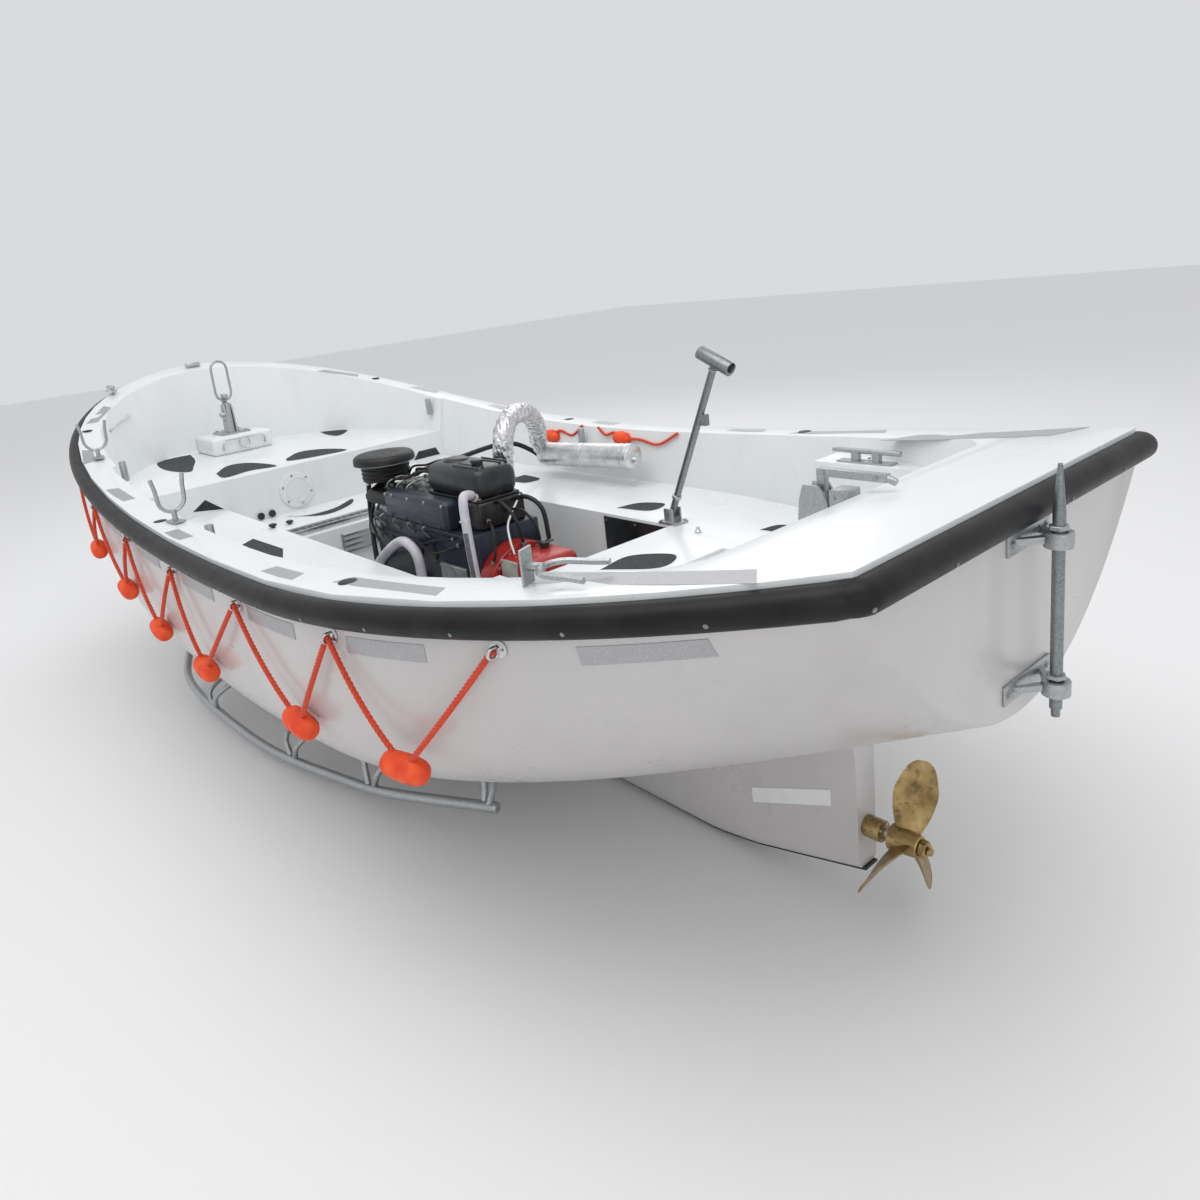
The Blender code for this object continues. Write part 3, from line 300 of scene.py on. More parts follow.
def gripFinish():
    # non-slip sheet: dark with a grain of grit
    material, tree, surface, coords = newFinish("darkGrip")
    colour = rampOf(tree, noiseOf(tree, coords, 55.0, 6.0), (0.012, 0.016, 0.016), (0.034, 0.040, 0.040))
    tree.links.new(colour, surface.inputs["Base Color"])
    setRelief(tree, surface, cellsOf(tree, coords, 600.0, "Distance"), 0.6, 0.0008)
    surface.inputs["Roughness"].default_value = 0.72
    return material


def bronzeFinish():
    # cast bronze: polished on the faces, dark in the pits
    material, tree, surface, coords = newFinish("castBronze")
    base = rampOf(tree, noiseOf(tree, coords, 18.0, 5.0), (0.22, 0.14, 0.055), (0.52, 0.38, 0.17), 0.3, 0.7)
    pits = rampOf(tree, noiseOf(tree, coords, 46.0, 6.0), black, grey(0.8), 0.55, 0.72)
    tree.links.new(mixOf(tree, pits, base, (0.11, 0.085, 0.05)), surface.inputs["Base Color"])
    setRoughness(tree, surface, noiseOf(tree, coords, 34.0, 4.0), 0.24, 0.5)
    setRelief(tree, surface, noiseOf(tree, coords, 120.0, 4.0), 0.35, 0.001)
    surface.inputs["Metallic"].default_value = 0.92
    return material


# painted shade: the outside gelcoat is a darker, warmer grey than the inside gelcoat, standing in for the
# shade on the hull's sides; its run-off streaks and specks are dirt
shadeDarkenedGelcoat = gelcoatFinish("shadeDarkenedGelcoat", (0.61, 0.59, 0.58), (0.55, 0.535, 0.53), (0.40, 0.38, 0.36), 0.22)
insideGelcoat = gelcoatFinish("insideGelcoat", (0.80, 0.825, 0.825), (0.76, 0.785, 0.79),
                              (0.50, 0.50, 0.48), 0.16)
zinc = galvanisedFinish("galvanisedSteel", (0.38, 0.40, 0.41), (0.53, 0.55, 0.56), 240.0)
darkZinc = galvanisedFinish("weatheredZinc", (0.21, 0.23, 0.24), (0.33, 0.35, 0.36), 260.0)
bronze = bronzeFinish()
foil = foilFinish()
orangeRope = ropeFinish()
silverTape = tapeFinish()
darkGrip = gripFinish()
fenderRubber = mottled("fenderRubber", low=(0.004, 0.004, 0.005), high=(0.012, 0.012, 0.013), scale=9.0,
                       rough=(0.36, 0.52), relief=0.25, reliefScale=130.0, depth=0.0008, gloss=0.28)
stainless = mottled("satinStainless", low=(0.52, 0.53, 0.53), high=(0.68, 0.68, 0.67), scale=12.0,
                    rough=(0.22, 0.36), metallic=1.0, relief=0.12, reliefScale=300.0, depth=0.0004)
wrapFoil = mottled("smoothWrapFoil", low=(0.62, 0.63, 0.64), high=(0.84, 0.84, 0.84), scale=18.0,
                   rough=(0.24, 0.44), metallic=0.9, relief=0.5, reliefScale=60.0, depth=0.004)
floatFoam = mottled("orangeFoam", low=(0.78, 0.050, 0.008), high=(0.95, 0.110, 0.02), scale=24.0,
                    rough=(0.5, 0.7), relief=0.4, reliefScale=210.0, depth=0.0012)
whiteEdge = mottled("whiteEdge", low=(0.86, 0.87, 0.87), high=(0.80, 0.81, 0.81), scale=30.0,
                    rough=(0.3, 0.45), relief=0.1, reliefScale=200.0, depth=0.0004)
blackPaint = mottled("blackEnginePaint", low=(0.003, 0.004, 0.005), high=(0.014, 0.016, 0.018), scale=14.0,
                     rough=(0.26, 0.50), relief=0.3, reliefScale=150.0, coat=0.2)
bluePaint = mottled("darkBlueEnginePaint", low=(0.004, 0.007, 0.018), high=(0.012, 0.018, 0.038), scale=11.0,
                    rough=(0.28, 0.50), relief=0.3, reliefScale=130.0, coat=0.2)
redPaint = mottled("redHousingPaint", low=(0.30, 0.008, 0.008), high=(0.42, 0.020, 0.014), scale=12.0,
                   rough=(0.30, 0.48), relief=0.25, reliefScale=120.0, coat=0.2)
bareAlloy = mottled("castAlloy", low=(0.30, 0.31, 0.31), high=(0.48, 0.49, 0.48), scale=20.0,
                    rough=(0.35, 0.55), metallic=0.85, relief=0.4, reliefScale=160.0)
blackHose = mottled("blackHose", low=(0.004, 0.004, 0.005), high=(0.012, 0.012, 0.013), scale=20.0,
                    rough=(0.40, 0.58), relief=0.3, reliefScale=240.0, depth=0.0006)
greyHose = mottled("greyHose", low=(0.50, 0.49, 0.54), high=(0.62, 0.60, 0.66), scale=16.0,
                   rough=(0.36, 0.52), relief=0.2, reliefScale=200.0, depth=0.0006)
sightWindow = mottled("sightWindow", low=(0.08, 0.085, 0.09), high=(0.14, 0.145, 0.15), scale=40.0,
                      rough=(0.12, 0.25), relief=0.1, reliefScale=200.0, depth=0.0004)
whiteCable = mottled("whiteCable", low=(0.70, 0.71, 0.68), high=(0.80, 0.80, 0.78), scale=30.0,
                     rough=(0.4, 0.5), relief=0.1, reliefScale=200.0, depth=0.0003)
plateGrey = mottled("coverPlateGrey", low=(0.36, 0.37, 0.33), high=(0.44, 0.44, 0.40), scale=16.0,
                    rough=(0.4, 0.55), metallic=0.2, relief=0.2, reliefScale=140.0, depth=0.0006)
print("stage: finishes made")


# building blocks: each returns points, faces and the finish they carry
def smoothPath(points, step):
    # a curve through the given points, cut into even steps
    nodes = [Vector(point) for point in points]
    nodes = [2 * nodes[0] - nodes[1], *nodes, 2 * nodes[-1] - nodes[-2]]
    partsOfSpan = 24
    fine = []
    for before, start, end, after in zip(nodes, nodes[1:], nodes[2:], nodes[3:]):
        for part in range(partsOfSpan):
            t = part / partsOfSpan
            bend = 2 * before - 5 * start + 4 * end - after
            twist = 3 * start - before - 3 * end + after
            fine.append(0.5 * (2 * start + (end - before) * t + bend * t * t + twist * t ** 3))
    fine.append(nodes[-2])
    lengths = np.concatenate([[0], np.cumsum([(b - a).length for a, b in zip(fine, fine[1:])])])
    count = max(int(lengths[-1] / step), 2)
    marks = np.linspace(0, lengths[-1], count + 1)
    line = np.array(fine)
    return np.stack([np.interp(marks, lengths, line[:, axis]) for axis in range(3)], axis=1)


def outward(verts, faces, finish, merge=0.0):
    form = bmesh.new()
    points = [form.verts.new(vert) for vert in verts]
    for face in faces:
        form.faces.new([points[index] for index in face])
    if merge:
        bmesh.ops.remove_doubles(form, verts=form.verts, dist=merge)
    bmesh.ops.recalc_face_normals(form, faces=form.faces)
    return fromForm(form, finish)


def fromForm(form, finish):
    form.verts.index_update()
    verts = [tuple(vert.co) for vert in form.verts]
    faces = [tuple(vert.index for vert in face.verts) for face in form.faces]
    form.free()
    return verts, faces, finish


def ringFaces(rings, sides):
    # skins equal rings one to the next and closes the first and the last
    faces = []
    for row in range(rings - 1):
        for side in range(sides):
            a, b = row * sides + side, row * sides + (side + 1) % sides
            faces.append((a, b, b + sides, a + sides))
    faces.append(tuple(range(sides))[::-1])
    faces.append(tuple(range((rings - 1) * sides, rings * sides)))
    return faces


def carriedNormals(tangents):
    # normals that travel along a path without spinning about it
    side = (0.0, 0.0, 1.0) if abs(tangents[0][2]) < 0.9 else (0.0, 1.0, 0.0)
    first = np.cross(tangents[0], side)
    normals = [first / np.linalg.norm(first)]
    for tangent in tangents[1:]:
        carried = normals[-1] - tangent * np.dot(normals[-1], tangent)
        normals.append(carried / np.linalg.norm(carried))
    return np.array(normals)


def sweep(points, radius, finish, step=0.012, sides=16, twist=0.0, lobes=0, depth=0.0, wrinkle=None):
    # a round bar along a path; lobes and twist lay it up as rope, wrinkle roughens it
    path = smoothPath(points, step)
    tangents = np.gradient(path, axis=0)
    tangents /= np.linalg.norm(tangents, axis=1)[:, None]
    normals = carriedNormals(tangents)
    sideways = np.cross(tangents, normals)
    travelled = np.concatenate([[0], np.cumsum(np.linalg.norm(np.diff(path, axis=0), axis=1))])
    around = np.linspace(0, 2 * math.pi, sides, endpoint=False)
    angles = around[None, :] + (travelled * twist)[:, None]
    strands = depth * (np.abs(np.cos(lobes * around / 2)) - 0.6) if lobes else np.zeros(sides)
    reach = np.repeat(radius * (1 + strands)[None, :], len(path), axis=0)
    if wrinkle is not None:
        reach += wrinkle(travelled, around)
    across = np.sin(angles)[:, :, None] * sideways[:, None, :]
    offset = np.cos(angles)[:, :, None] * normals[:, None, :] + across
    ring = path[:, None, :] + reach[:, :, None] * offset
    endBulge, endWidth = 0.25 * radius, 0.75  # a softened end past the path
    start = path[0] - tangents[0] * endBulge + (ring[0] - path[0]) * endWidth
    end = path[-1] + tangents[-1] * endBulge + (ring[-1] - path[-1]) * endWidth
    rings = [start, *ring, end]
    verts = [tuple(point) for row in rings for point in row]
    return outward(verts, ringFaces(len(rings), sides), finish)


def bevelled(form, width, segments=2, angle=0.5):
    edges = [edge for edge in form.edges if len(edge.link_faces) == 2 and edge.calc_face_angle(0.0) > angle]
    if edges and width:
        bmesh.ops.bevel(form, geom=edges, offset=width, segments=segments, affect="EDGES", profile=0.5,
                        clamp_overlap=True)


def block(low, high, finish, bevel=0.003, segments=2):
    form = bmesh.new()
    bmesh.ops.create_cube(form, size=1.0)
    bmesh.ops.scale(form, vec=Vector(high) - Vector(low), verts=form.verts)
    bevelled(form, bevel, segments)
    bmesh.ops.translate(form, vec=(Vector(high) + Vector(low)) / 2, verts=form.verts)
    return fromForm(form, finish)


def axisFrame(axis):
    return Vector(axis).normalized().to_track_quat("Z", "Y").to_matrix()


def turned(profile, finish, start, axis, sides=32):
    # profile is (along, radius) pairs turned about the axis through start, closed at both ends
    toAxis = axisFrame(axis)
    verts = []
    for along, radius in profile:
        for side in range(sides):
            angle = 2 * math.pi * side / sides
            point = Vector((radius * math.cos(angle), radius * math.sin(angle), along))
            verts.append(tuple(Vector(start) + toAxis @ point))
    return outward(verts, ringFaces(len(profile), sides), finish)


def ringOf(centre, axis, radius, wire, finish, sides=40, wireSides=12):
    toAxis = axisFrame(axis)
    verts, faces = [], []
    for side in range(sides):
        angle = 2 * math.pi * side / sides
        for part in range(wireSides):
            turn = 2 * math.pi * part / wireSides
            reach = radius + wire * math.cos(turn)
            point = Vector((reach * math.cos(angle), reach * math.sin(angle), wire * math.sin(turn)))
            verts.append(tuple(Vector(centre) + toAxis @ point))
            after, onward = (side + 1) % sides, (part + 1) % wireSides
            faces.append((side * wireSides + part, side * wireSides + onward,
                          after * wireSides + onward, after * wireSides + part))
    return outward(verts, faces, finish)


def sheet(grid, offset, finish):
    # a thin plate from a grid of points, thickened by an offset, fixed or worked out for each point
    rows, columns = len(grid), len(grid[0])
    shift = offset if callable(offset) else (lambda point: Vector(offset))
    verts = [tuple(point) for row in grid for point in row]
    verts += [tuple(Vector(point) + shift(Vector(point))) for row in grid for point in row]
    base = rows * columns
    faces = []
    for row in range(rows - 1):
        for column in range(columns - 1):
            a = row * columns + column
            quad = (a, a + 1, a + columns + 1, a + columns)
            faces.append(quad)
            faces.append(tuple(base + index for index in quad)[::-1])
    edge = [column for column in range(columns)]
    edge += [row * columns + columns - 1 for row in range(1, rows)]
    edge += [(rows - 1) * columns + column for column in range(columns - 2, -1, -1)]
    edge += [row * columns for row in range(rows - 2, 0, -1)]
    faces += [(a, b, base + b, base + a) for a, b in zip(edge, edge[1:] + edge[:1])]
    return outward(verts, faces, finish)


def slab(outline, place, thick, finish):
    # a flat plate: place turns an outline point and a height into a point of the boat
    count = len(outline)
    verts = [place(point, 0.0) for point in outline] + [place(point, thick) for point in outline]
    faces = [tuple(range(count)), tuple(range(count, 2 * count))[::-1]]
    for index in range(count):
        after = (index + 1) % count
        faces.append((index, count + index, count + after, after))
    return outward(verts, faces, finish)


def cadCopy(node, finish, bevel=0.002, segments=2):
    # the frame's own mesh with its points merged, flat faces joined and edges softened
    form = bmesh.new()
    form.from_mesh(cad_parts[node].data)
    bmesh.ops.remove_doubles(form, verts=form.verts, dist=1e-5)
    bmesh.ops.dissolve_limit(form, angle_limit=0.02, verts=form.verts, edges=form.edges)
    bevelled(form, bevel, segments, 0.6)
    return fromForm(form, finish)


def makePiece(name, body, parts, nodes=(), sharp=38.0):
    verts, faces, places, finishes = [], [], [], []
    for partVerts, partFaces, finish in parts:
        if finish not in finishes:
            finishes.append(finish)
        base = len(verts)
        verts.extend(partVerts)
        faces.extend(tuple(base + index for index in face) for face in partFaces)
        places.extend([finishes.index(finish)] * len(partFaces))
    mesh = bpy.data.meshes.new(name)
    mesh.from_pydata(verts, [], faces)
    for finish in finishes:
        mesh.materials.append(finish)
    mesh.polygons.foreach_set("material_index", places)
    mesh.polygons.foreach_set("use_smooth", [True] * len(mesh.polygons))
    mesh.validate()
    mesh.set_sharp_from_angle(angle=math.radians(sharp))
    piece = bpy.data.objects.new(name, mesh)
    bpy.context.scene.collection.objects.link(piece)
    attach(piece, body)
    if nodes:
        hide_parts(*nodes)


# two Geometry Nodes trees: fasteners set on points, and a shaped band along a line
def nodeTree(name, inputs):
    tree = bpy.data.node_groups.new(name, "GeometryNodeTree")
    tree.interface.new_socket("Geometry", in_out="INPUT", socket_type="NodeSocketGeometry")
    for label, kind in inputs:
        tree.interface.new_socket(label, in_out="INPUT", socket_type=kind)
    tree.interface.new_socket("Geometry", in_out="OUTPUT", socket_type="NodeSocketGeometry")
    return tree, tree.nodes.new("NodeGroupInput"), tree.nodes.new("NodeGroupOutput")


def endTree(tree, source, made, result):
    realise = tree.nodes.new("GeometryNodeRealizeInstances")
    coat = tree.nodes.new("GeometryNodeSetMaterial")
    tree.links.new(made, realise.inputs["Geometry"])
    tree.links.new(realise.outputs["Geometry"], coat.inputs["Geometry"])
    tree.links.new(source.outputs["Material"], coat.inputs["Material"])
    tree.links.new(coat.outputs["Geometry"], result.inputs["Geometry"])


def runTree(tree, data, values):
    # the tree runs on a guide; what it makes comes back as points and faces
    guide = bpy.data.objects.new(tree.name + "Guide", data)
    bpy.context.scene.collection.objects.link(guide)
    modifier = guide.modifiers.new("tree", "NODES")
    modifier.node_group = tree
    for item in tree.interface.items_tree:
        if item.in_out == "INPUT" and item.name in values:
            modifier[item.identifier] = values[item.name]
    graph = bpy.context.evaluated_depsgraph_get()
    made = bpy.data.meshes.new_from_object(guide.evaluated_get(graph), depsgraph=graph)
    verts = [tuple(vert.co) for vert in made.vertices]
    faces = [tuple(face.vertices) for face in made.polygons]
    bpy.data.objects.remove(guide)
    bpy.data.meshes.remove(made)
    return verts, faces


washer = {"sides": 24, "thick": 0.003}


def makeFastenerTree():
    # a washer and a head of any number of sides on every guide point, turned to face outwards
    inputs = [("Head Radius", "NodeSocketFloat"), ("Head Height", "NodeSocketFloat"),
              ("Washer Radius", "NodeSocketFloat"), ("Sides", "NodeSocketInt"),
              ("Material", "NodeSocketMaterial")]
    tree, source, result = nodeTree("fasteners", inputs)
    link = tree.links.new
    head = tree.nodes.new("GeometryNodeMeshCylinder")
    disc = tree.nodes.new("GeometryNodeMeshCylinder")
    disc.inputs["Vertices"].default_value = washer["sides"]
    disc.inputs["Depth"].default_value = washer["thick"]
    link(source.outputs["Sides"], head.inputs["Vertices"])
    link(source.outputs["Head Radius"], head.inputs["Radius"])
    link(source.outputs["Head Height"], head.inputs["Depth"])
    link(source.outputs["Washer Radius"], disc.inputs["Radius"])
    join = tree.nodes.new("GeometryNodeJoinGeometry")
    link(head.outputs["Mesh"], join.inputs["Geometry"])
    link(disc.outputs["Mesh"], join.inputs["Geometry"])
    facing = tree.nodes.new("GeometryNodeInputNamedAttribute")
    facing.data_type = "FLOAT_VECTOR"
    facing.inputs["Name"].default_value = "facing"
    align = tree.nodes.new("FunctionNodeAlignRotationToVector")
    align.axis = "Z"
    link(facing.outputs["Attribute"], align.inputs["Vector"])
    instances = tree.nodes.new("GeometryNodeInstanceOnPoints")
    link(source.outputs["Geometry"], instances.inputs["Points"])
    link(join.outputs["Geometry"], instances.inputs["Instance"])
    link(align.outputs["Rotation"], instances.inputs["Rotation"])
    endTree(tree, source, instances.outputs["Instances"], result)
    return tree


def makeBandTree():
    # the rounded section of a band is lofted along a guide line, upright all the way
    inputs = [("Height", "NodeSocketFloat"), ("Depth", "NodeSocketFloat"), ("Sides", "NodeSocketInt"),
              ("Material", "NodeSocketMaterial")]
    tree, source, result = nodeTree("shapedBand", inputs)
    link = tree.links.new
    line = tree.nodes.new("GeometryNodeMeshToCurve")
    link(source.outputs["Geometry"], line.inputs["Mesh"])
    upright = tree.nodes.new("GeometryNodeSetCurveNormal")
    upright.mode = "Z_UP"
    link(line.outputs["Curve"], upright.inputs["Curve"])
    outline = tree.nodes.new("GeometryNodeCurvePrimitiveCircle")
    outline.inputs["Radius"].default_value = 1.0
    link(source.outputs["Sides"], outline.inputs["Resolution"])
    size = tree.nodes.new("ShaderNodeCombineXYZ")
    size.inputs["Z"].default_value = 1.0
    link(source.outputs["Height"], size.inputs["Y"])
    link(source.outputs["Depth"], size.inputs["X"])
    shape = tree.nodes.new("GeometryNodeTransform")
    link(outline.outputs["Curve"], shape.inputs["Geometry"])
    link(size.outputs["Vector"], shape.inputs["Scale"])
    loft = tree.nodes.new("GeometryNodeCurveToMesh")
    link(upright.outputs["Curve"], loft.inputs["Curve"])
    link(shape.outputs["Geometry"], loft.inputs["Profile Curve"])
    loft.inputs["Fill Caps"].default_value = True
    endTree(tree, source, loft.outputs["Mesh"], result)
    return tree


fastenerTree = makeFastenerTree()
bandTree = makeBandTree()


def fasteners(places, finish, head, height, disc, sides=6):
    # places are (point, facing) pairs
    data = bpy.data.meshes.new("fastenerPoints")
    data.from_pydata([point for point, facing in places], [], [])
    layer = data.attributes.new("facing", "FLOAT_VECTOR", "POINT")
    layer.data.foreach_set("vector", [value for point, facing in places for value in facing])
    values = {"Head Radius": head, "Head Height": 2 * height, "Washer Radius": disc, "Sides": sides,
              "Material": finish}
    return outward(*runTree(fastenerTree, data, values), finish)


def boltRow(places, facing, head=0.008, height=0.005, disc=0.012, finish=zinc, sides=6):
    return fasteners([(place, facing) for place in places], finish, head, height, disc, sides)


# the hull's lines, by the same rules as the frame's
hull = {
    "halfLength": 2.9, "widest": -1.177, "transom": 0.688, "halfBeam": 1.188,
    "lowestSheer": -0.406, "sheer": 0.50, "riseAft": 0.212, "riseFore": 0.495,
    "keel": -0.487, "transomFoot": 0.19, "runStart": -0.12, "stemStart": 0.70, "stemTop": 0.90,
    "bowRoundness": 5, "bowFullness": 1.738, "stemRoundness": 2.62,
    "wall": 0.012, "rim": 0.0225, "seam": 0.02,
    "edges": ((-2.9, 0.012), (-2.8965, 0.0036), (-2.888, 0.0)),  # the transom's rounded edge: x and inset
    "straightTo": 2.0, "straightStations": 88, "bowStations": 52, "sectionPoints": 45,
    "deckAbove": 0.0425,
}
hull["aftRun"] = hull["widest"] + hull["halfLength"]
hull["foreRun"] = hull["halfLength"] - hull["widest"]


def halfBeam(x):
    if x <= hull["widest"]:
        aft = (hull["widest"] - x) / hull["aftRun"]
        return hull["transom"] + (hull["halfBeam"] - hull["transom"]) * (1 - aft ** 2)
    fore = min((x - hull["widest"]) / hull["foreRun"], 1.0)
    return hull["halfBeam"] * max(1 - fore ** hull["bowRoundness"], 0.0) ** (1 / hull["bowFullness"])


def sheer(x):
    low = hull["lowestSheer"]
    if x > low:
        return hull["sheer"] + hull["riseFore"] * ((x - low) / (hull["halfLength"] - low)) ** 2
    return hull["sheer"] + hull["riseAft"] * ((low - x) / (hull["halfLength"] + low)) ** 2


def keel(x):
    if x < hull["runStart"]:
        aft = (hull["runStart"] - x) / (hull["runStart"] + hull["halfLength"])
        return hull["keel"] + (hull["transomFoot"] - hull["keel"]) * aft ** 2
    if x > hull["stemStart"]:
        fore = min((x - hull["stemStart"]) / (hull["halfLength"] - hull["stemStart"]), 1.0)
        power = hull["stemRoundness"]
        return hull["keel"] + (hull["stemTop"] - hull["keel"]) * (1 - (1 - fore ** power) ** (1 / power))
    return hull["keel"]


# how full a section is: two powers each for the transom, the middle and the bow
fullness = {"transom": (1.03, 2.03), "middle": (3.885, 1.646), "bow": (1.476, 1.628),
            "aftLength": 1.6, "bowStart": 0.6, "bowLength": 2.3}


def sectionPowers(x):
    aft = min(max((x + hull["halfLength"]) / fullness["aftLength"], 0.0), 1.0)
    aft = aft * aft * (3 - 2 * aft)
    fore = min(max((x - fullness["bowStart"]) / fullness["bowLength"], 0.0), 1.0)
    powers = []
    for transom, middle, bow in zip(fullness["transom"], fullness["middle"], fullness["bow"]):
        power = transom + (middle - transom) * aft
        powers.append(power + (bow - power) * fore)
    return powers


def sectionPoint(x, share, inset=0.0):
    down, across = sectionPowers(x)
    top, foot = sheer(x) - hull["seam"], keel(x) + inset * 1.2
    width = max(halfBeam(x) - inset, 0.004)
    return width * max(1 - share ** down, 0.0) ** (1 / across), top + (foot - top) * share


def hullBreadth(x, z):
    top, foot = sheer(x) - hull["seam"], keel(x)
    share = min(max((top - z) / (top - foot), 0.0), 1.0)
    return sectionPoint(x, share)[0]


def hullNormal(x, z, side=1):
    step = 0.004
    alongX = Vector((2 * step, hullBreadth(x + step, z) - hullBreadth(x - step, z), 0.0))
    alongZ = Vector((0.0, hullBreadth(x, z + step) - hullBreadth(x, z - step), 2 * step))
    normal = alongZ.cross(alongX)
    normal = (normal if normal.y > 0 else -normal).normalized()
    return Vector((normal.x, normal.y * side, normal.z))


def hullSection(x, inset):
    port = [(x, max(halfBeam(x) - inset, 0.004), sheer(x) + hull["rim"])]
    last = hull["sectionPoints"] - 1
    for step in range(hull["sectionPoints"]):
        y, z = sectionPoint(x, math.sin(math.pi / 2 * step / last) ** 1.15, inset)
        port.append((x, y if step < last else 0.0, z))
    return port + [(x, -y, z) for x, y, z in port[-2::-1]]


def bowStations(count, end):
    # stations that crowd towards the stem, where the plan turns quickly
    angles = np.linspace(0.545, end, count)
    return [hull["widest"] + hull["foreRun"] * math.sin(angle) ** 0.4 for angle in angles]


def rimFaces(verts, outer, inner):
    # joins two edges with points at different places along the boat
    faces, i, j = [], 0, 0
    while i < len(outer) - 1 or j < len(inner) - 1:
        outerLeft, innerLeft = i < len(outer) - 1, j < len(inner) - 1
        if outerLeft and (not innerLeft or verts[outer[i + 1]][0] <= verts[inner[j + 1]][0]):
            faces.append((outer[i], outer[i + 1], inner[j]))
            i += 1
        else:
            faces.append((outer[i], inner[j + 1], inner[j]))
            j += 1
    return faces


def makeHull():
    stations = list(hull["edges"])
    stations += [(x, 0.0) for x in np.linspace(-2.84, hull["straightTo"], hull["straightStations"])]
    stations += [(x, 0.0) for x in bowStations(hull["bowStations"], math.pi / 2 - 0.004)]
    outside = [hullSection(x, inset) for x, inset in stations]
    innerXs = [hull["edges"][-1][0], *[x for x, inset in stations[4:-6]]]
    inside = [hullSection(x, hull["wall"]) for x in innerXs]
    verts, faces = [], []
    count = len(outside[0])
    half = count // 2
    bases = []
    for rows in (outside, inside):
        base = len(verts)
        bases.append(base)
        for row in rows:
            verts.extend(row)
        for row in range(len(rows) - 1):
            for point in range(count - 1):
                a = base + row * count + point
                faces.append((a, a + 1, a + count + 1, a + count))
        for row in (0, len(rows) - 1):
            a = base + row * count
            for point in range(half - 1):
                faces.append((a + point, a + point + 1, a + count - 2 - point, a + count - 1 - point))
    outer, inner = bases
    for side in (0, count - 1):
        outerEdge = [outer + row * count + side for row in range(len(outside))]
        innerEdge = [inner + row * count + side for row in range(len(inside))]
        faces += rimFaces(verts, outerEdge, innerEdge)
    for a, b in ((outer, inner), (outer + (len(outside) - 1) * count, inner + (len(inside) - 1) * count)):
        faces.append((a, b, b + count - 1, a + count - 1))
    makePiece("hullSkin", "hull", [outward(verts, faces, shadeDarkenedGelcoat, 1e-6)], ["hull_shell"], 50.0)


makeHull()
print("stage: hull skin made")

moulding = {"edgeRadius": 0.014, "edgeSteps": 3}
softened = cadCopy("inner_moulding", insideGelcoat, moulding["edgeRadius"], moulding["edgeSteps"])
makePiece("cockpitMoulding", "hull", [softened], ["inner_moulding"], 42.0)
print("stage: cockpit moulding made")

# the rubber fender all round, screwed through its lower half
fender = {"below": 0.045, "above": 0.030, "halfHeight": 0.0375, "depth": 0.0405, "sides": 26, "stand": 0.004,
          "screwGap": 0.29, "screwStart": 0.1, "screwReach": 0.0415, "screwDrop": 0.014,
          "screw": (0.004, 0.0020, 0.0055), "cornerY": 0.66, "cornerRadius": 0.02}


def planLoop(reach, fine=1):
    # the hull's plan from the stern's middle round the port side to the stem and back to starboard
    length, radius = hull["halfLength"], fender["cornerRadius"]
    port = [(-length - reach, y) for y in np.linspace(0.0, fender["cornerY"], 12 * fine)]
    for angle in np.linspace(0.2, 1.45, 7):
        x = -length - reach * math.cos(angle) + radius * (1 - math.cos(angle))
        port.append((x, hull["transom"] - radius + (radius + reach) * math.sin(angle)))
    xs = [*np.linspace(-2.86, hull["straightTo"], 60 * fine), *bowStations(46 * fine, math.pi / 2)[1:]]
    plan = [(x, halfBeam(x)) for x in xs]
    for before, (x, y), after in zip([plan[0], *plan], plan, [*plan[1:], None]):
        if after is None:
            port.append((x + reach, 0.0))
            continue
        dx, dy = after[0] - before[0], after[1] - before[1]
        size = math.hypot(dx, dy)
        port.append((x - dy / size * reach, y + dx / size * reach))
    return port + [(x, -y) for x, y in port[-2:0:-1]]


def sheerAt(x):
    return sheer(min(max(x, -hull["halfLength"]), hull["halfLength"]))


def makeFender():
    middle = (fender["above"] - fender["below"]) / 2
    line = [(x, y, sheerAt(x) + middle) for x, y in planLoop(fender["stand"])]
    data = bpy.data.meshes.new("fenderLine")
    data.from_pydata(line, [(index, (index + 1) % len(line)) for index in range(len(line))], [])
    values = {"Height": fender["halfHeight"], "Depth": fender["depth"], "Sides": fender["sides"],
              "Material": fenderRubber}
    parts = [outward(*runTree(bandTree, data, values), fenderRubber, 1e-6)]
    loop = planLoop(fender["screwReach"], 2)
    travelled, last, screws = 0.0, fender["screwStart"], []
    for (ax, ay), (bx, by) in zip(loop, loop[1:]):
        size = math.hypot(bx - ax, by - ay)
        travelled += size
        if travelled - last > fender["screwGap"]:
            last = travelled
            place = (bx, by, sheerAt(bx) + middle - fender["screwDrop"])
            screws.append((place, ((ay - by) / size, (bx - ax) / size, -0.25)))
    parts.append(fasteners(screws, darkZinc, *fender["screw"], 16))
    makePiece("fenderBand", "hull", parts, ["fender"], 50.0)


makeFender()
print("stage: fender made")

# the skeg: x, height of its foot, half width at the foot, half width at the hull
skeg = {
    "stations": ((-2.45, -0.462, 0.045, 0.048), (-2.25, -0.512, 0.045, 0.052),
                 (-2.05, -0.560, 0.045, 0.062),
                 (-1.88, -0.583, 0.045, 0.075), (-1.65, -0.580, 0.045, 0.088), (-1.3, -0.575, 0.045, 0.100),
                 (-0.7, -0.560, 0.045, 0.100), (0.15, -0.525, 0.040, 0.070)),
    "rows": 54, "intoHull": 0.03, "flare": 0.05, "flareFrom": 0.72,
    "shoe": ((-2.462, -0.4605), (-2.25, -0.5128), (-2.05, -0.5608), (-1.88, -0.5838), (-1.65, -0.5808),
             (-1.3, -0.5758)),
    "shoeThick": 0.008, "shoeYs": (-0.03, -0.028, 0.028, 0.03), "shoeRows": 30,
    "shoeScrewXs": (-2.38, -2.1, -1.8, -1.5, -1.36), "shoeScrewYs": (-0.014, 0.014),
}


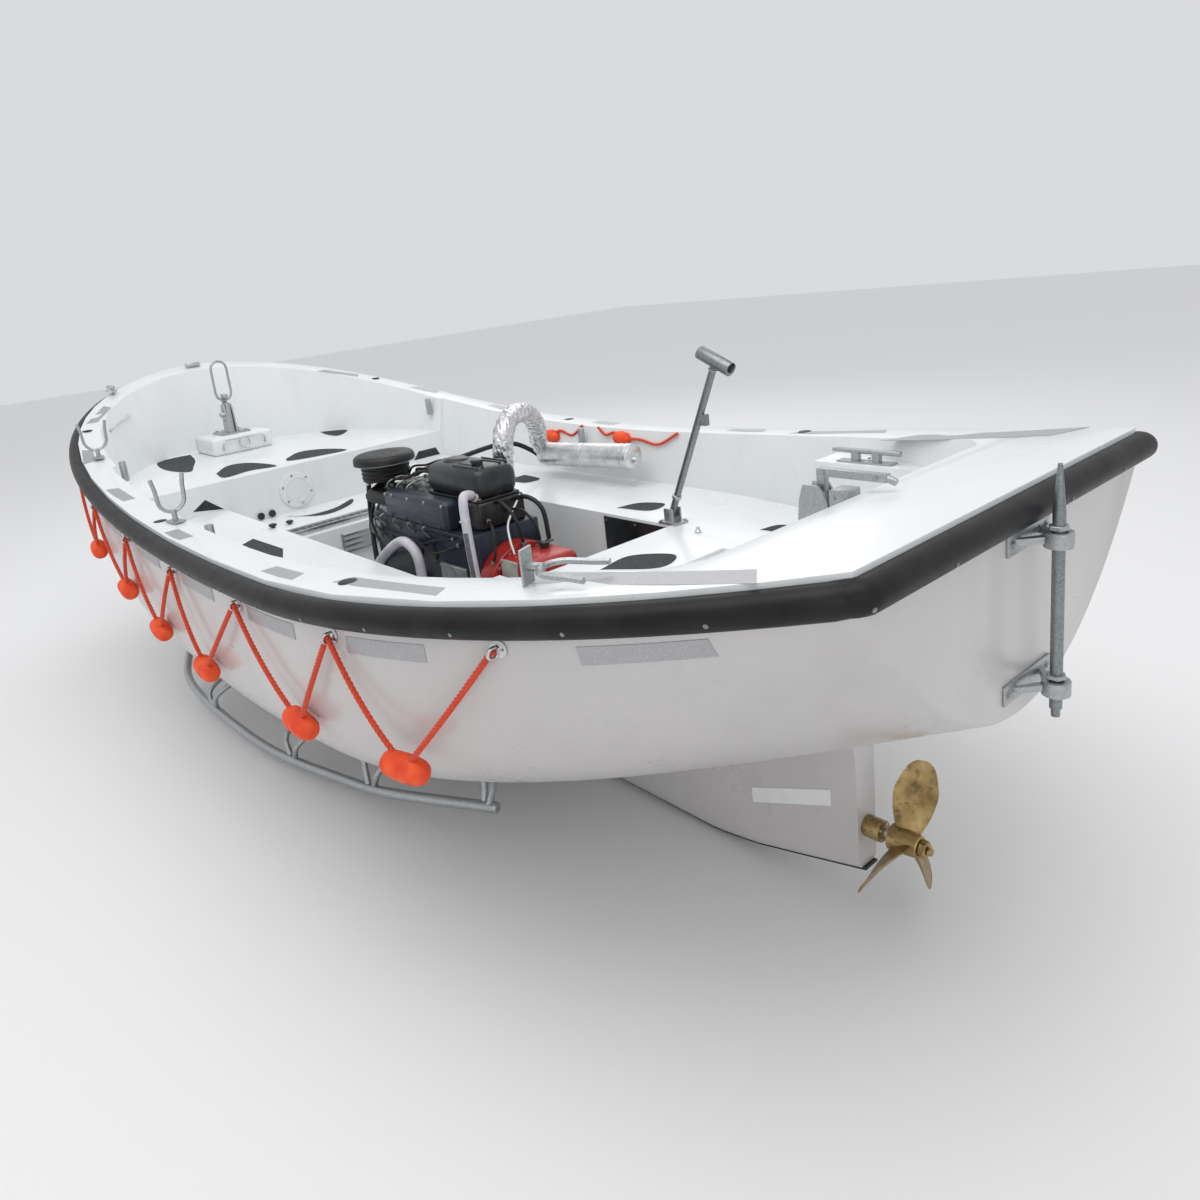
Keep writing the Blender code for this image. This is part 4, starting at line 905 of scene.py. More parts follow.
def tableAt(table, column, x):
    return float(np.interp(x, [row[0] for row in table], [row[column] for row in table]))


def skegHalfWidth(x, height):
    low, high = tableAt(skeg["stations"], 2, x), tableAt(skeg["stations"], 3, x)
    past = max(height - skeg["flareFrom"], 0) / (1 - skeg["flareFrom"])
    return low + (high - low) * height + skeg["flare"] * past ** 2


def makeSkeg():
    rows = []
    for x in np.linspace(skeg["stations"][0][0], skeg["stations"][-1][0], skeg["rows"]):
        foot, low = tableAt(skeg["stations"], 1, x), tableAt(skeg["stations"], 2, x)
        top = keel(x) + skeg["intoHull"]
        side = [(low - 0.010, 0.0), (low - 0.002, 0.02), (low, 0.07)]  # the foot's rounded edge
        side += [(skegHalfWidth(x, height), height) for height in np.linspace(0.14, 1.0, 12)]
        port = [(x, y, foot + (top - foot) * height) for y, height in side]
        rows.append(port + [(px, -py, pz) for px, py, pz in port[::-1]])
    count = len(rows[0])
    verts = [point for row in rows for point in row]
    faces = []
    for row in range(len(rows) - 1):
        for i in range(count):
            a, b = row * count + i, row * count + (i + 1) % count
            faces.append((a, b, b + count, a + count))
    for end in (0, (len(rows) - 1) * count):
        for i in range(count // 2 - 1):
            faces.append((end + i, end + i + 1, end + count - 2 - i, end + count - 1 - i))
    makePiece("skegFairing", "hull", [outward(verts, faces, shadeDarkenedGelcoat)], ["skeg"], 50.0)

    shoe, thick = skeg["shoe"], skeg["shoeThick"]
    strip = [[(x, y, tableAt(shoe, 1, x)) for y in skeg["shoeYs"]]
             for x in np.linspace(shoe[0][0], shoe[-1][0], skeg["shoeRows"])]
    parts = [sheet(strip, (0, 0, -thick), blackPaint)]
    screws = [(x, y, tableAt(shoe, 1, x) - thick) for x in skeg["shoeScrewXs"] for y in skeg["shoeScrewYs"]]
    parts.append(boltRow(screws, (0, 0, -1), 0.004, 0.0015, 0.005, stainless, 12))
    makePiece("skegShoe", "hull", parts, ["skeg_shoe"])


makeSkeg()
print("stage: skeg made")

# reflective tapes: on deck from end to end, on the hull by their x range, and one on each face of the skeg
tapes = {
    "thick": 0.0011, "halfWidth": 0.0275, "slant": 0.015,
    "deck": (((2.33, 0.72), (2.08, 0.88)), ((1.60, 1.03), (1.37, 1.08)), ((0.83, 1.115), (0.49, 1.105)),
             ((0.012, 1.136), (-0.434, 1.129)), ((-0.86, 1.124), (-1.285, 1.107)),
             ((-1.485, 1.056), (-1.938, 1.006))),
    "quarter": ((-2.134, 0.886), (-2.034, 0.811), (-2.668, 0.686), (-2.738, 0.774)),
    "sides": ((0.25, -0.04), (-0.33, -0.68), (-1.01, -1.37), (-1.65, -1.955), (-2.37, -2.635), (0.86, 0.56),
              (1.52, 1.24)),
    "sideBelowSheer": 0.092, "sideDrops": (-0.024, -0.008, 0.008, 0.024), "sideStand": 0.0004,
    "skegStart": (-2.065, -0.365), "skegRun": (-0.298, 0.109), "skegStand": 0.0008, "skegThick": 0.0012,
}


def onDeck(point, side):
    return (point.x, point.y * side, sheer(point.x) + hull["deckAbove"])


def deckTape(start, end, side):
    a, b = Vector((start[0], start[1] * side)), Vector((end[0], end[1] * side))
    way = (b - a).normalized()
    across = Vector((-way.y, way.x))
    grid = []
    for share in np.linspace(0, 1, 14):
        slant = tapes["slant"] * (1 - 2 * share)
        middle = a + (b - a) * share
        row = [middle + across * tapes["halfWidth"] * half + way * slant * half for half in (-1, 0, 1)]
        grid.append([onDeck(point, 1) for point in row])
    return sheet(grid, (0, 0, tapes["thick"]), silverTape)


def quarterTape(side):
    corners = [Vector(corner) for corner in tapes["quarter"]]
    grid = []
    for share in np.linspace(0, 1, 16):
        near, far = corners[0].lerp(corners[3], share), corners[1].lerp(corners[2], share)
        grid.append([onDeck(point, side) for point in (near, near.lerp(far, 0.5), far)])
    return sheet(grid, (0, 0, tapes["thick"]), silverTape)


def sideTape(start, end, side):
    grid = []
    for x in np.linspace(start, end, 14):
        heights = [sheer(x) - tapes["sideBelowSheer"] + drop for drop in tapes["sideDrops"]]
        grid.append([(x, side * (hullBreadth(x, z) + tapes["sideStand"]), z) for z in heights])
    return sheet(grid, lambda point: hullNormal(point.x, point.z, side) * tapes["thick"], silverTape)


def skegTape(side):
    grid = []
    for share in np.linspace(0, 1, 12):
        x = tapes["skegStart"][0] + tapes["skegRun"][0] * share
        middle = tapes["skegStart"][1] + tapes["skegRun"][1] * share
        foot, top = tableAt(skeg["stations"], 1, x), keel(x) + skeg["intoHull"]
        row = []
        for drop in (-tapes["halfWidth"], 0.0, tapes["halfWidth"]):
            width = skegHalfWidth(x, (middle + drop - foot) / (top - foot))
            row.append((x, side * (width + tapes["skegStand"]), middle + drop))
        grid.append(row)
    return sheet(grid, (0, side * tapes["skegThick"], 0), whiteEdge)


def makeTapes():
    parts = [deckTape(start, end, side) for start, end in tapes["deck"] for side in (1, -1)]
    for side in (1, -1):
        parts.append(quarterTape(side))
        parts += [sideTape(start, end, side) for start, end in tapes["sides"]]
    parts += [skegTape(side) for side in (1, -1)]
    makePiece("reflectiveTapes", "hull", parts)


makeTapes()

# non-slip marks: level, rounded or not, and outline
seatMarks = {
    "edge": 0.007, "thick": 0.0008, "edgeStand": 0.0004, "stand": 0.0010,
    "flat": (
        (0.46, True, ((2.49, 0.25), (2.50, 0.36), (2.44, 0.48), (2.135, 0.539), (1.902, 0.529),
                      (1.77, 0.476),
                      (1.95, 0.40), (2.2, 0.31))),
        (0.46, True, ((1.495, 0.417), (1.684, 0.278), (1.612, 0.167), (1.293, 0.127), (1.334, 0.274),
                      (1.294, 0.435))),
        (0.46, True, ((1.462, 0), (1.602, -0.154), (1.503, -0.278), (1.286, -0.322), (1.294, -0.147),
                      (1.36, 0.017))),
        (0.46, True, ((2.268, -0.601), (2.111, -0.723), (1.971, -0.651), (1.917, -0.563), (2.08, -0.56))),
        (0.19, True, ((1.125, 0.197), (1.018, 0.098), (1.023, -0.061), (1.132, -0.226), (0.997, -0.145),
                      (0.922, 0.05))),
        (0.295, False, ((0.326, 0.757), (0.411, 0.647), (0.08, 0.634), (-0.064, 0.695))),
        (0.295, True, ((0.156, -0.816), (-0.012, -0.79), (-0.004, -0.693), (0.143, -0.703))),
        (0.295, True, ((-0.853, -0.57), (-0.89, -0.68), (-1.011, -0.719), (-1.03, -0.603))),
        (0.295, True, ((-1.428, 0.056), (-1.409, -0.114), (-1.55, -0.21), (-1.604, -0.075))),
        (0.295, True, ((-1.63, -0.605), (-1.658, -0.694), (-1.759, -0.703), (-1.74, -0.62)))),
    "faceX": 1.2096, "faceThick": 0.0010,  # on the upright face of the bow seat: y and z
    "face": (((0.669, 0.332), (0.593, 0.381), (0.503, 0.306)),
             ((-0.73, 0.31), (-0.925, 0.31), (-0.9, 0.36), (-0.77, 0.36))),
}


def makeSeatMarks():
    parts = []
    for level, rounded, corners in seatMarks["flat"]:
        outline = [Vector((*corner, 0)) for corner in corners]
        centre = sum(outline, Vector()) / len(outline)
        if rounded:
            outline = [Vector(point) for point in smoothPath([*outline, outline[0]], 0.02)[:-1]]
        wide = []
        for point in outline:
            reach = max((point - centre).length, 0.03)
            wide.append(centre + (point - centre) * (1 + seatMarks["edge"] / reach))
        for shape, stand, finish in ((wide, "edgeStand", whiteEdge), (outline, "stand", darkGrip)):
            low = level + seatMarks[stand]
            parts.append(slab([(p.x, p.y) for p in shape], lambda p, height, low=low: (*p, low + height),
                              seatMarks["thick"], finish))
    for corners in seatMarks["face"]:
        parts.append(slab(corners, lambda p, height: (seatMarks["faceX"] - height, *p),
                          seatMarks["faceThick"], darkGrip))
    makePiece("seatMarks", "hull", parts)


makeSeatMarks()
print("stage: tapes and seat marks made")

# lifelines of laid rope held at eyes, with a foam float in every bight
lifeline = {
    "rope": 0.008, "ropeStep": 0.006, "lay": {"twist": 140.0, "lobes": 3, "depth": 0.34}, "ropeSides": 12,
    "eyeXs": (1.60, 1.015, 0.39, -0.25, -0.94, -1.59, -2.18), "eyeBelowSheer": 0.070, "eyeStand": 0.018,
    "floats": ((1.17, 0.272), (0.52, 0.20), (0.105, 0.10), (-0.46, 0.08), (-1.33, 0.144), (-1.836, 0.155)),
    "sag": 0.012, "bow": 0.010,
    "floatProfile": ((-0.071, 0.009), (-0.070, 0.016), (-0.064, 0.026), (-0.050, 0.034), (-0.030, 0.037),
                     (0.0, 0.038), (0.030, 0.037), (0.050, 0.034), (0.064, 0.026), (0.070, 0.016),
                     (0.071, 0.009)),
    "floatSlope": 0.20,
    "eyeProfile": ((0, 0.024), (0.003, 0.024), (0.005, 0.021), (0.006, 0.012), (0.012, 0.008)),
    "shackle": (0.015, 0.0042),
}


def taut(start, end, side):
    # a span between two holds, a little slack
    points = []
    for share in (0, 0.33, 0.66, 1):
        x, y, z = (a + (b - a) * share for a, b in zip(start, end))
        slack = math.sin(math.pi * share)
        points.append((x, (y + lifeline["bow"] * slack) * side, z - lifeline["sag"] * slack))
    return points


def makeLifeline(side, name, node):
    eyes = [(x, halfBeam(x) + lifeline["eyeStand"], sheer(x) - lifeline["eyeBelowSheer"])
            for x in lifeline["eyeXs"]]
    floats = [(x, max(halfBeam(x) + 0.020, hullBreadth(x, z) + 0.040), z) for x, z in lifeline["floats"]]
    route = [point for pair in zip(eyes, floats) for point in pair] + [eyes[-1]]
    parts = [sweep(taut(start, end, side), lifeline["rope"], orangeRope, lifeline["ropeStep"],
                   lifeline["ropeSides"], **lifeline["lay"]) for start, end in zip(route, route[1:])]
    for x, y, z in floats:
        outwardSlope = (hullBreadth(x + 0.05, z) - hullBreadth(x - 0.05, z)) * 10 * side
        lie = (1.0, outwardSlope, lifeline["floatSlope"])
        parts.append(turned(lifeline["floatProfile"], floatFoam, (x, y * side, z), lie, 28))
    screws = []
    for x, y, z in eyes:
        parts.append(ringOf((x, (y - 0.002) * side, z - 0.006), (1, 0, 0.2), *lifeline["shackle"],
                            stainless, 24, 10))
        place = Vector((x, side * (hullBreadth(x, z) + 0.001), z))
        facing = hullNormal(x, z, side)
        parts.append(turned(lifeline["eyeProfile"], stainless, place, facing, 24))
        screws += [(tuple(place + facing * 0.005 + Vector((dx, 0, 0))), tuple(facing))
                   for dx in (-0.016, 0.016)]
    parts.append(fasteners(screws, stainless, 0.003, 0.001, 0.0036, 12))
    makePiece(name, "hull", parts, [node])


makeLifeline(1, "lifelinePort", "lifeline_port")
makeLifeline(-1, "lifelineStarboard", "lifeline_starboard")

# rope loops with floats hung inside along the starboard side
insideLoops = {
    "routes": (((0.184, -1.025, 0.50), (0.12, -1.016, 0.475), (0.061, -1.022, 0.511), (-0.04, -1.026, 0.49),
                (-0.127, -1.030, 0.547)),
               ((-0.261, -1.025, 0.545), (-0.32, -1.020, 0.51), (-0.384, -1.024, 0.525),
                (-0.45, -1.018, 0.50),
                (-0.57, -1.022, 0.50), (-0.70, -1.018, 0.485), (-0.827, -1.028, 0.545))),
    "rope": 0.007, "twist": 150.0, "floats": ((0.12, -1.012, 0.478), (-0.45, -1.012, 0.502)),
    "floatProfile": ((-0.055, 0.008), (-0.05, 0.02), (-0.03, 0.032), (0, 0.036), (0.03, 0.032),
                     (0.05, 0.02),
                     (0.055, 0.008)),
}


def makeInsideLoops():
    parts = [sweep(route, insideLoops["rope"], orangeRope, 0.006, 12, insideLoops["twist"], 3, 0.34)
             for route in insideLoops["routes"]]
    parts += [turned(insideLoops["floatProfile"], floatFoam, place, (1, 0, 0.1), 24)
              for place in insideLoops["floats"]]
    makePiece("insideRopeLoops", "hull", parts)


makeInsideLoops()

# bilge rails: the rail's route, and for each bracket its place on the rail and the x of its two feet
bilgeRail = {
    "route": ((1.16, 0.86, -0.40), (1.02, 0.93, -0.47), (0.81, 0.955, -0.50), (0.55, 0.953, -0.52),
              (-0.05, 0.919, -0.54), (-0.65, 0.813, -0.52), (-0.95, 0.77, -0.47), (-1.40, 0.618, -0.412)),
    "radius": 0.020, "legRadius": 0.012, "rise": 0.17,
    "brackets": ((0.55, 0.953, -0.520, 0.47, 0.64), (-0.23, 0.887, -0.534, -0.34, -0.12),
                 (-0.78, 0.794, -0.498, -0.89, -0.67), (-1.36, 0.632, -0.418, -1.41, -1.29)),
    "footProfile": ((-0.004, 0.030), (0.003, 0.030), (0.005, 0.027), (0.006, 0.014)), "boltReach": 0.021,
}


def makeRail(side, name, node):
    parts = [sweep([(x, y * side, z) for x, y, z in bilgeRail["route"]], bilgeRail["radius"], zinc, 0.02, 20)]
    for x, y, z, *feet in bilgeRail["brackets"]:
        for foot in feet:
            high = z + bilgeRail["rise"]
            root = Vector((foot, (hullBreadth(foot, high) + 0.001) * side, high))
            leg = [(x + (foot - x) * 0.2, y * side, z + 0.004),
                   (x + (foot - x) * 0.6, (y - 0.02) * side, z + 0.09), tuple(root)]
            parts.append(sweep(leg, bilgeRail["legRadius"], zinc, 0.015, 14))
            facing = hullNormal(foot, high, side)
            parts.append(turned(bilgeRail["footProfile"], zinc, root, facing, 24))
            bolts = [tuple(root + facing * 0.006 + Vector((dx, 0, 0)))
                     for dx in (-bilgeRail["boltReach"], bilgeRail["boltReach"])]
            parts.append(boltRow(bolts, tuple(facing), 0.005, 0.003, 0.006))
    makePiece(name, "hull", parts, [node])


makeRail(1, "bilgeRailPort", "bilge_rail_port")
makeRail(-1, "bilgeRailStarboard", "bilge_rail_starboard")
print("stage: lifelines and bilge rails made")

# the screw: reach along a blade, chord, thickness, and lean in degrees
screw = {
    "blade": ((0.10, 0.062, 0.016, 62), (0.35, 0.110, 0.013, 48), (0.62, 0.140, 0.010, 36),
              (0.85, 0.110, 0.007, 29), (0.94, 0.082, 0.0055, 27.5), (0.985, 0.052, 0.0045, 26.4),
              (1.0, 0.030, 0.004, 26)),
    "radius": 0.235, "centre": (-2.575, 0, -0.333), "blades": 3, "firstBlade": 25, "bladeSides": 28,
    "chordBlend": (0.1, 0.2, 0.4, 0.2, 0.1),
    "hub": ((0, 0.020), (0.001, 0.036), (0.004, 0.040), (0.03, 0.0395), (0.07, 0.034), (0.086, 0.032),
            (0.0895, 0.029), (0.09, 0.014)),
    "nut": ((0, 0.010), (0.0005, 0.024), (0.002, 0.026), (0.018, 0.026), (0.0205, 0.022), (0.021, 0.010)),
    "shaftEnd": ((0, 0.009), (0.004, 0.013), (0.012, 0.011), (0.0135, 0.006)),
    "hubX": -2.53, "nutX": -2.6205, "shaftEndX": -2.6412,
    "bearingFaceX": -2.506, "bearingBoltCircle": 0.0245,
}


def makeBlade(reaches, chord, thick, lean, spin):
    verts, sides = [], screw["bladeSides"]
    for reach, c, t, angle in zip(reaches, chord, thick, np.radians(lean)):
        for side in range(sides):
            around = 2 * math.pi * side / sides
            a, b = c / 2 * math.cos(around), t / 2 * math.sin(around)
            point = Vector((a * math.sin(angle) + b * math.cos(angle),
                            a * math.cos(angle) - b * math.sin(angle), reach * screw["radius"]))
            verts.append(tuple(spin @ point + Vector(screw["centre"])))
    return outward(verts, ringFaces(len(reaches), sides), bronze)


def makeScrewPropeller():
    table = np.array(screw["blade"])
    reaches = np.concatenate([np.linspace(0.10, 0.9, 22), np.linspace(0.915, 1.0, 9)])
    chord, thick, lean = (np.interp(reaches, table[:, 0], table[:, column]) for column in (1, 2, 3))
    chord = np.convolve(np.pad(chord, 2, "edge"), screw["chordBlend"], "valid")
    parts = []
    for blade in range(screw["blades"]):
        turn = math.radians(screw["firstBlade"] + 360 / screw["blades"] * blade)
        parts.append(makeBlade(reaches, chord, thick, lean, Matrix.Rotation(turn, 3, "X")))
    height = screw["centre"][2]
    for profile, x, sides in (("hub", "hubX", 40), ("nut", "nutX", 6), ("shaftEnd", "shaftEndX", 20)):
        parts.append(turned(screw[profile], bronze, (screw[x], 0, height), (-1, 0, 0), sides))
    makePiece("screwPropeller", "propeller_and_shaft", parts, ["propeller"], 32.0)
    shaft = cadCopy("propeller_shaft", stainless, 0.0008)
    makePiece("screwShaft", "propeller_and_shaft", [shaft], ["propeller_shaft"])
    circle = screw["bearingBoltCircle"]
    bolts = [(screw["bearingFaceX"], circle * math.cos(angle), height + circle * math.sin(angle))
             for angle in np.linspace(0.6, 0.6 + 2 * math.pi, 5)[:-1]]
    bearing = [cadCopy("stern_bearing", bronze), boltRow(bolts, (-1, 0, 0), 0.004, 0.002, 0.005, stainless)]
    makePiece("sternBearingHousing", "hull", bearing, ["stern_bearing"])


makeScrewPropeller()

# the rudder stock with its two nuts, in two gudgeons bolted to the transom
sternGear = {
    "stockX": -2.970, "nutZs": (0.292, 0.658),
    "nut": ((0, 0.0135), (0.0005, 0.021), (0.002, 0.0225), (0.010, 0.0225), (0.0115, 0.021),
            (0.012, 0.0135)),
    "plateX": -2.9068, "boltsFromEdge": (0.020, 0.052),
    "gudgeons": (("upper_gudgeon", "upperGudgeonCasting", 0.636, 0.105),
                 ("lower_gudgeon", "lowerGudgeonCasting", 0.270, 0.120)),
}


def makeSternGear():
    parts = [cadCopy("rudder_stock", darkZinc, 0.0006)]
    for z in sternGear["nutZs"]:
        parts.append(turned(sternGear["nut"], zinc, (sternGear["stockX"], 0, z), (0, 0, 1), 6))
    makePiece("rudderStockRod", "rudder_stock", parts, ["rudder_stock"])
    outer, inner = sternGear["boltsFromEdge"]
    for node, name, z, half in sternGear["gudgeons"]:
        ys = (-half + outer, -half + inner, half - inner, half - outer)
        casting = [cadCopy(node, zinc, 0.003), boltRow([(sternGear["plateX"], y, z) for y in ys], (-1, 0, 0))]
        makePiece(name, "hull", casting, [node])


makeSternGear()
print("stage: propeller and rudder fittings made")


# the two lifting hooks on their pedestals
# a bolt's size is its head's radius and height, and its washer's radius
hooks = {
    "pedestalRadius": 0.010, "pedestalSteps": 3,
    "footBolt": (0.010, 0.008, 0.014), "footYs": (-0.072, 0.072),
    "foreFootXs": (2.243, 2.397), "foreFootZ": 0.5875, "aftFootXs": (-2.395, -2.265), "aftFootZ": 0.5173,
    "cheekBolt": (0.009, 0.006, 0.013), "cheekX": 2.32, "cheekY": 0.0245, "cheekZs": (0.66, 0.73),
    "weld": ((2.23, 0.030, 0.5885), (2.32, 0.031, 0.589), (2.41, 0.030, 0.5885)),
    "weldRadius": 0.004, "rippleHeight": 0.0008, "ripplePitch": 900,
    "caseBolt": (0.005, 0.003, 0.007), "caseXs": (-2.435, -2.405), "caseY": 0.0325, "caseZs": (0.61, 0.675),
    "leverBolt": (0.007, 0.004, 0.010), "leverPins": ((-2.36, 0.0115, 0.736), (-2.52, 0.0115, 0.736)),
}


def weldRipples(travelled, around):
    return hooks["rippleHeight"] * np.sin(travelled[:, None] * hooks["ripplePitch"] + around[None, :])


def makeHooks():
    for name, node in (("foreHookPedestal", "fore_hook_pedestal"), ("aftHookPedestal", "aft_hook_pedestal")):
        pedestal = cadCopy(node, insideGelcoat, hooks["pedestalRadius"], hooks["pedestalSteps"])
        makePiece(name, "hull", [pedestal], [node])
    feet = [(x, y, hooks["foreFootZ"]) for x in hooks["foreFootXs"] for y in hooks["footYs"]]
    fore = [cadCopy("fore_hook_frame", zinc, 0.003), boltRow(feet, (0, 0, 1), *hooks["footBolt"])]
    for side in (1, -1):
        weld = [(x, side * y, z) for x, y, z in hooks["weld"]]
        fore.append(sweep(weld, hooks["weldRadius"], zinc, 0.008, 10, wrinkle=weldRipples))
    for side in (1, -1):
        bolts = [(hooks["cheekX"], side * hooks["cheekY"], z) for z in hooks["cheekZs"]]
        fore.append(boltRow(bolts, (0, side, 0), *hooks["cheekBolt"]))
    makePiece("foreHookCheeks", "hull", fore, ["fore_hook_frame"])
    link = [cadCopy("fore_lifting_link", zinc, 0.0)]
    makePiece("foreLiftingLink", "fore_lifting_link", link, ["fore_lifting_link"], 60.0)
    feet = [(x, y, hooks["aftFootZ"]) for x in hooks["aftFootXs"] for y in hooks["footYs"]]
    aft = [cadCopy("aft_hook_frame", zinc, 0.003), boltRow(feet, (0, 0, 1), *hooks["footBolt"])]
    caseBolts = [(x, hooks["caseY"], z) for x in hooks["caseXs"] for z in hooks["caseZs"]]
    aft.append(boltRow(caseBolts, (0, 1, 0), *hooks["caseBolt"]))
    makePiece("aftHookCase", "hull", aft, ["aft_hook_frame"])
    lever = [cadCopy("aft_hook_lever", zinc), boltRow(hooks["leverPins"], (0, 1, 0), *hooks["leverBolt"])]
    makePiece("aftReleaseLever", "aft_hook_lever", lever, ["aft_hook_lever"])
    handle = [cadCopy("pedestal_handle", stainless, 0.0)]
    makePiece("pedestalGrabHandle", "hull", handle, ["pedestal_handle"], 60.0)


makeHooks()

# the folding post and the clevis at its foot
post = {
    "foot": (-1.25, -0.52, 0.34), "lean": 25,
    "collar": ((0, 0.0148), (0.0005, 0.019), (0.002, 0.0195), (0.014, 0.0195), (0.016, 0.017),
               (0.0165, 0.0148)),
    "collarAt": 0.07, "ringAt": 0.655, "ring": (0.0155, 0.0028),
    "baseXs": (-1.289, -1.211), "baseYs": (-0.549, -0.491), "baseZ": 0.3053,
    "baseBolt": (0.006, 0.005, 0.009),
    "pinEnds": ((-0.4955, 1), (-0.5445, -1)), "pinBolt": (0.009, 0.006, 0.012),
}


def makePost():
    foot, lean = Vector(post["foot"]), math.radians(post["lean"])
    up = Vector((-math.sin(lean), 0, math.cos(lean)))
    parts = [cadCopy("folding_post", darkZinc, 0.001)]
    parts.append(turned(post["collar"], zinc, foot + up * post["collarAt"], up, 28))
    parts.append(ringOf(foot + up * post["ringAt"], up, *post["ring"], zinc, 30, 8))
    makePiece("foldingPostTube", "folding_post", parts, ["folding_post"], 42.0)
    bolts = [(x, y, post["baseZ"]) for x in post["baseXs"] for y in post["baseYs"]]
    base = [cadCopy("folding_post_foot", zinc), boltRow(bolts, (0, 0, 1), *post["baseBolt"])]
    for y, side in post["pinEnds"]:
        base.append(boltRow([(post["foot"][0], y, post["foot"][2])], (0, side, 0), *post["pinBolt"]))
    makePiece("foldingPostClevis", "hull", base, ["folding_post_foot"])


makePost()

# crutches, cleat, fairleads and canopy sockets on the deck
deckGear = {
    "small": (0.004, 0.003, 0.006),
    "crutches": ("crutch_port", "crutch_bow_port", "crutch_lying", "mooring_cleat"),
    "crutchPlates": ((0, 1.078), (1.40, 1.022)), "plateScrews": (-0.024, 0.024), "plateTop": 0.0475,
    "cleatScrews": ((-1.995, -0.797, 0.5685), (-1.995, -0.757, 0.5685)),
    "fairleadX": 2.82, "fairleadYs": (-0.038, 0.038), "fairleadTop": 0.046,
    "socketPlaces": ((1.95, 0.94), (0.086, 1.117), (-1.529, 1.062)),
    "socketCap": ((-0.003, 0.027), (0.0015, 0.028), (0.0032, 0.026), (0.0042, 0.020), (0.0046, 0.010),
                  (0.0047, 0.002)),
    "sockets": ("canopy_socket_fore_port", "canopy_socket_fore_starboard", "canopy_socket_aft_port",
                "canopy_socket_aft_starboard"),
}


def makeDeckFittings():
    parts = [cadCopy(node, zinc, 0.0) for node in deckGear["crutches"]]
    for x, y in deckGear["crutchPlates"]:
        screws = [(x + dx, y, sheer(x) + deckGear["plateTop"]) for dx in deckGear["plateScrews"]]
        parts.append(boltRow(screws, (0, 0, 1), *deckGear["small"]))
    parts.append(boltRow(deckGear["cleatScrews"], (0, 0, 1), *deckGear["small"]))
    makePiece("crutchesAndCleat", "hull", parts, deckGear["crutches"], 55.0)

    x = deckGear["fairleadX"]
    screws = [(x, y, sheer(x) + deckGear["fairleadTop"]) for y in deckGear["fairleadYs"]]
    parts = [cadCopy("stem_fairlead", stainless), cadCopy("bow_chock", stainless)]
    parts.append(boltRow(screws, (0, 0, 1), *deckGear["small"], stainless))
    makePiece("bowFairleads", "hull", parts, ["stem_fairlead", "bow_chock"])

    parts = []
    for x, y in deckGear["socketPlaces"]:
        for side in (1, -1):
            place = (x, y * side, sheer(x) + hull["deckAbove"])
            parts.append(turned(deckGear["socketCap"], blackHose, place, (0, 0, 1), 28))
    parts += [cadCopy(node, zinc, 0.0015) for node in deckGear["sockets"]]
    makePiece("canopySockets", "hull", parts, deckGear["sockets"])


makeDeckFittings()

# the round inspection cover on the bow seat's face
cover = {"centre": (1.2000, 0.07, 0.315), "screwCircle": 0.088, "screws": 6, "firstScrew": 0.3,
         "bead": (0.070, 0.0025), "beadX": 1.1995}


def makeInspectionCover():
    x, y, z = cover["centre"]
    turns = np.linspace(cover["firstScrew"], cover["firstScrew"] + 2 * math.pi, cover["screws"] + 1)[:-1]
    reach = cover["screwCircle"]
    screws = [(x, y + reach * math.cos(a), z + reach * math.sin(a)) for a in turns]
    parts = [cadCopy("inspection_plate", insideGelcoat)]
    parts.append(boltRow(screws, (-1, 0, 0), 0.0045, 0.002, 0.007, stainless, 12))
    parts.append(ringOf((cover["beadX"], y, z), (1, 0, 0), *cover["bead"], insideGelcoat, 56, 8))
    makePiece("inspectionPlateCover", "hull", parts, ["inspection_plate"])


makeInspectionCover()

# a black panel with its screws beside the engine well, set where the recess lies in deep shade (painted
# shade), and four black knobs
well = {
    "knob": ((0, 0.010), (0.006, 0.010), (0.008, 0.018), (0.012, 0.021), (0.018, 0.020), (0.021, 0.014),
             (0.022, 0.004)),
    "knobs": (((1.2098, 0.311, 0.215), (-1, 0, 0)), ((1.2098, 0.245, 0.215), (-1, 0, 0)),
              ((0.936, 0.254, 0.1905), (0, 0, 1)), ((0.522, 0.50, 0.2955), (0, 0, 1))),
    "screwXs": (-1.245, -1.06, -0.878), "screwY": -0.4765, "screwZs": (-0.064, 0.267),
}


def makeShadePanelAndKnobs():
    parts = [turned(well["knob"], blackPaint, place, axis, 24) for place, axis in well["knobs"]]
    # painted shade: this black sheet stands where the recess beside the well is only in shadow
    parts.append(cadCopy("well_side_panel", blackPaint, 0.0008))
    screws = [(x, well["screwY"], z) for x in well["screwXs"] for z in well["screwZs"]]
    parts.append(boltRow(screws, (0, 1, 0), 0.004, 0.002, 0.006, stainless, 12))
    makePiece("paintedShadePanelAndKnobs", "hull", parts, ["well_side_panel"])


makeShadePanelAndKnobs()

# the drain channel across the step, its bars, and a slatted grille below it
drain = {
    "bed": ((0.629, -0.462, 0.2095), (0.691, 0.404, 0.2125)),
    "barYs": (-0.45, 0.39), "bars": 22, "barXs": (0.632, 0.688), "barZs": (0.2120, 0.2150),
    "barWide": 0.010,
    "slatXs": (0.548, 0.5595), "slatYs": (-0.07, 0.13), "slatZs": (0.135, 0.105, 0.075, 0.045),
    "slatHigh": 0.012,
    "postYs": (-0.078, 0.130), "postZs": (0.036, 0.156), "postWide": 0.010,
}


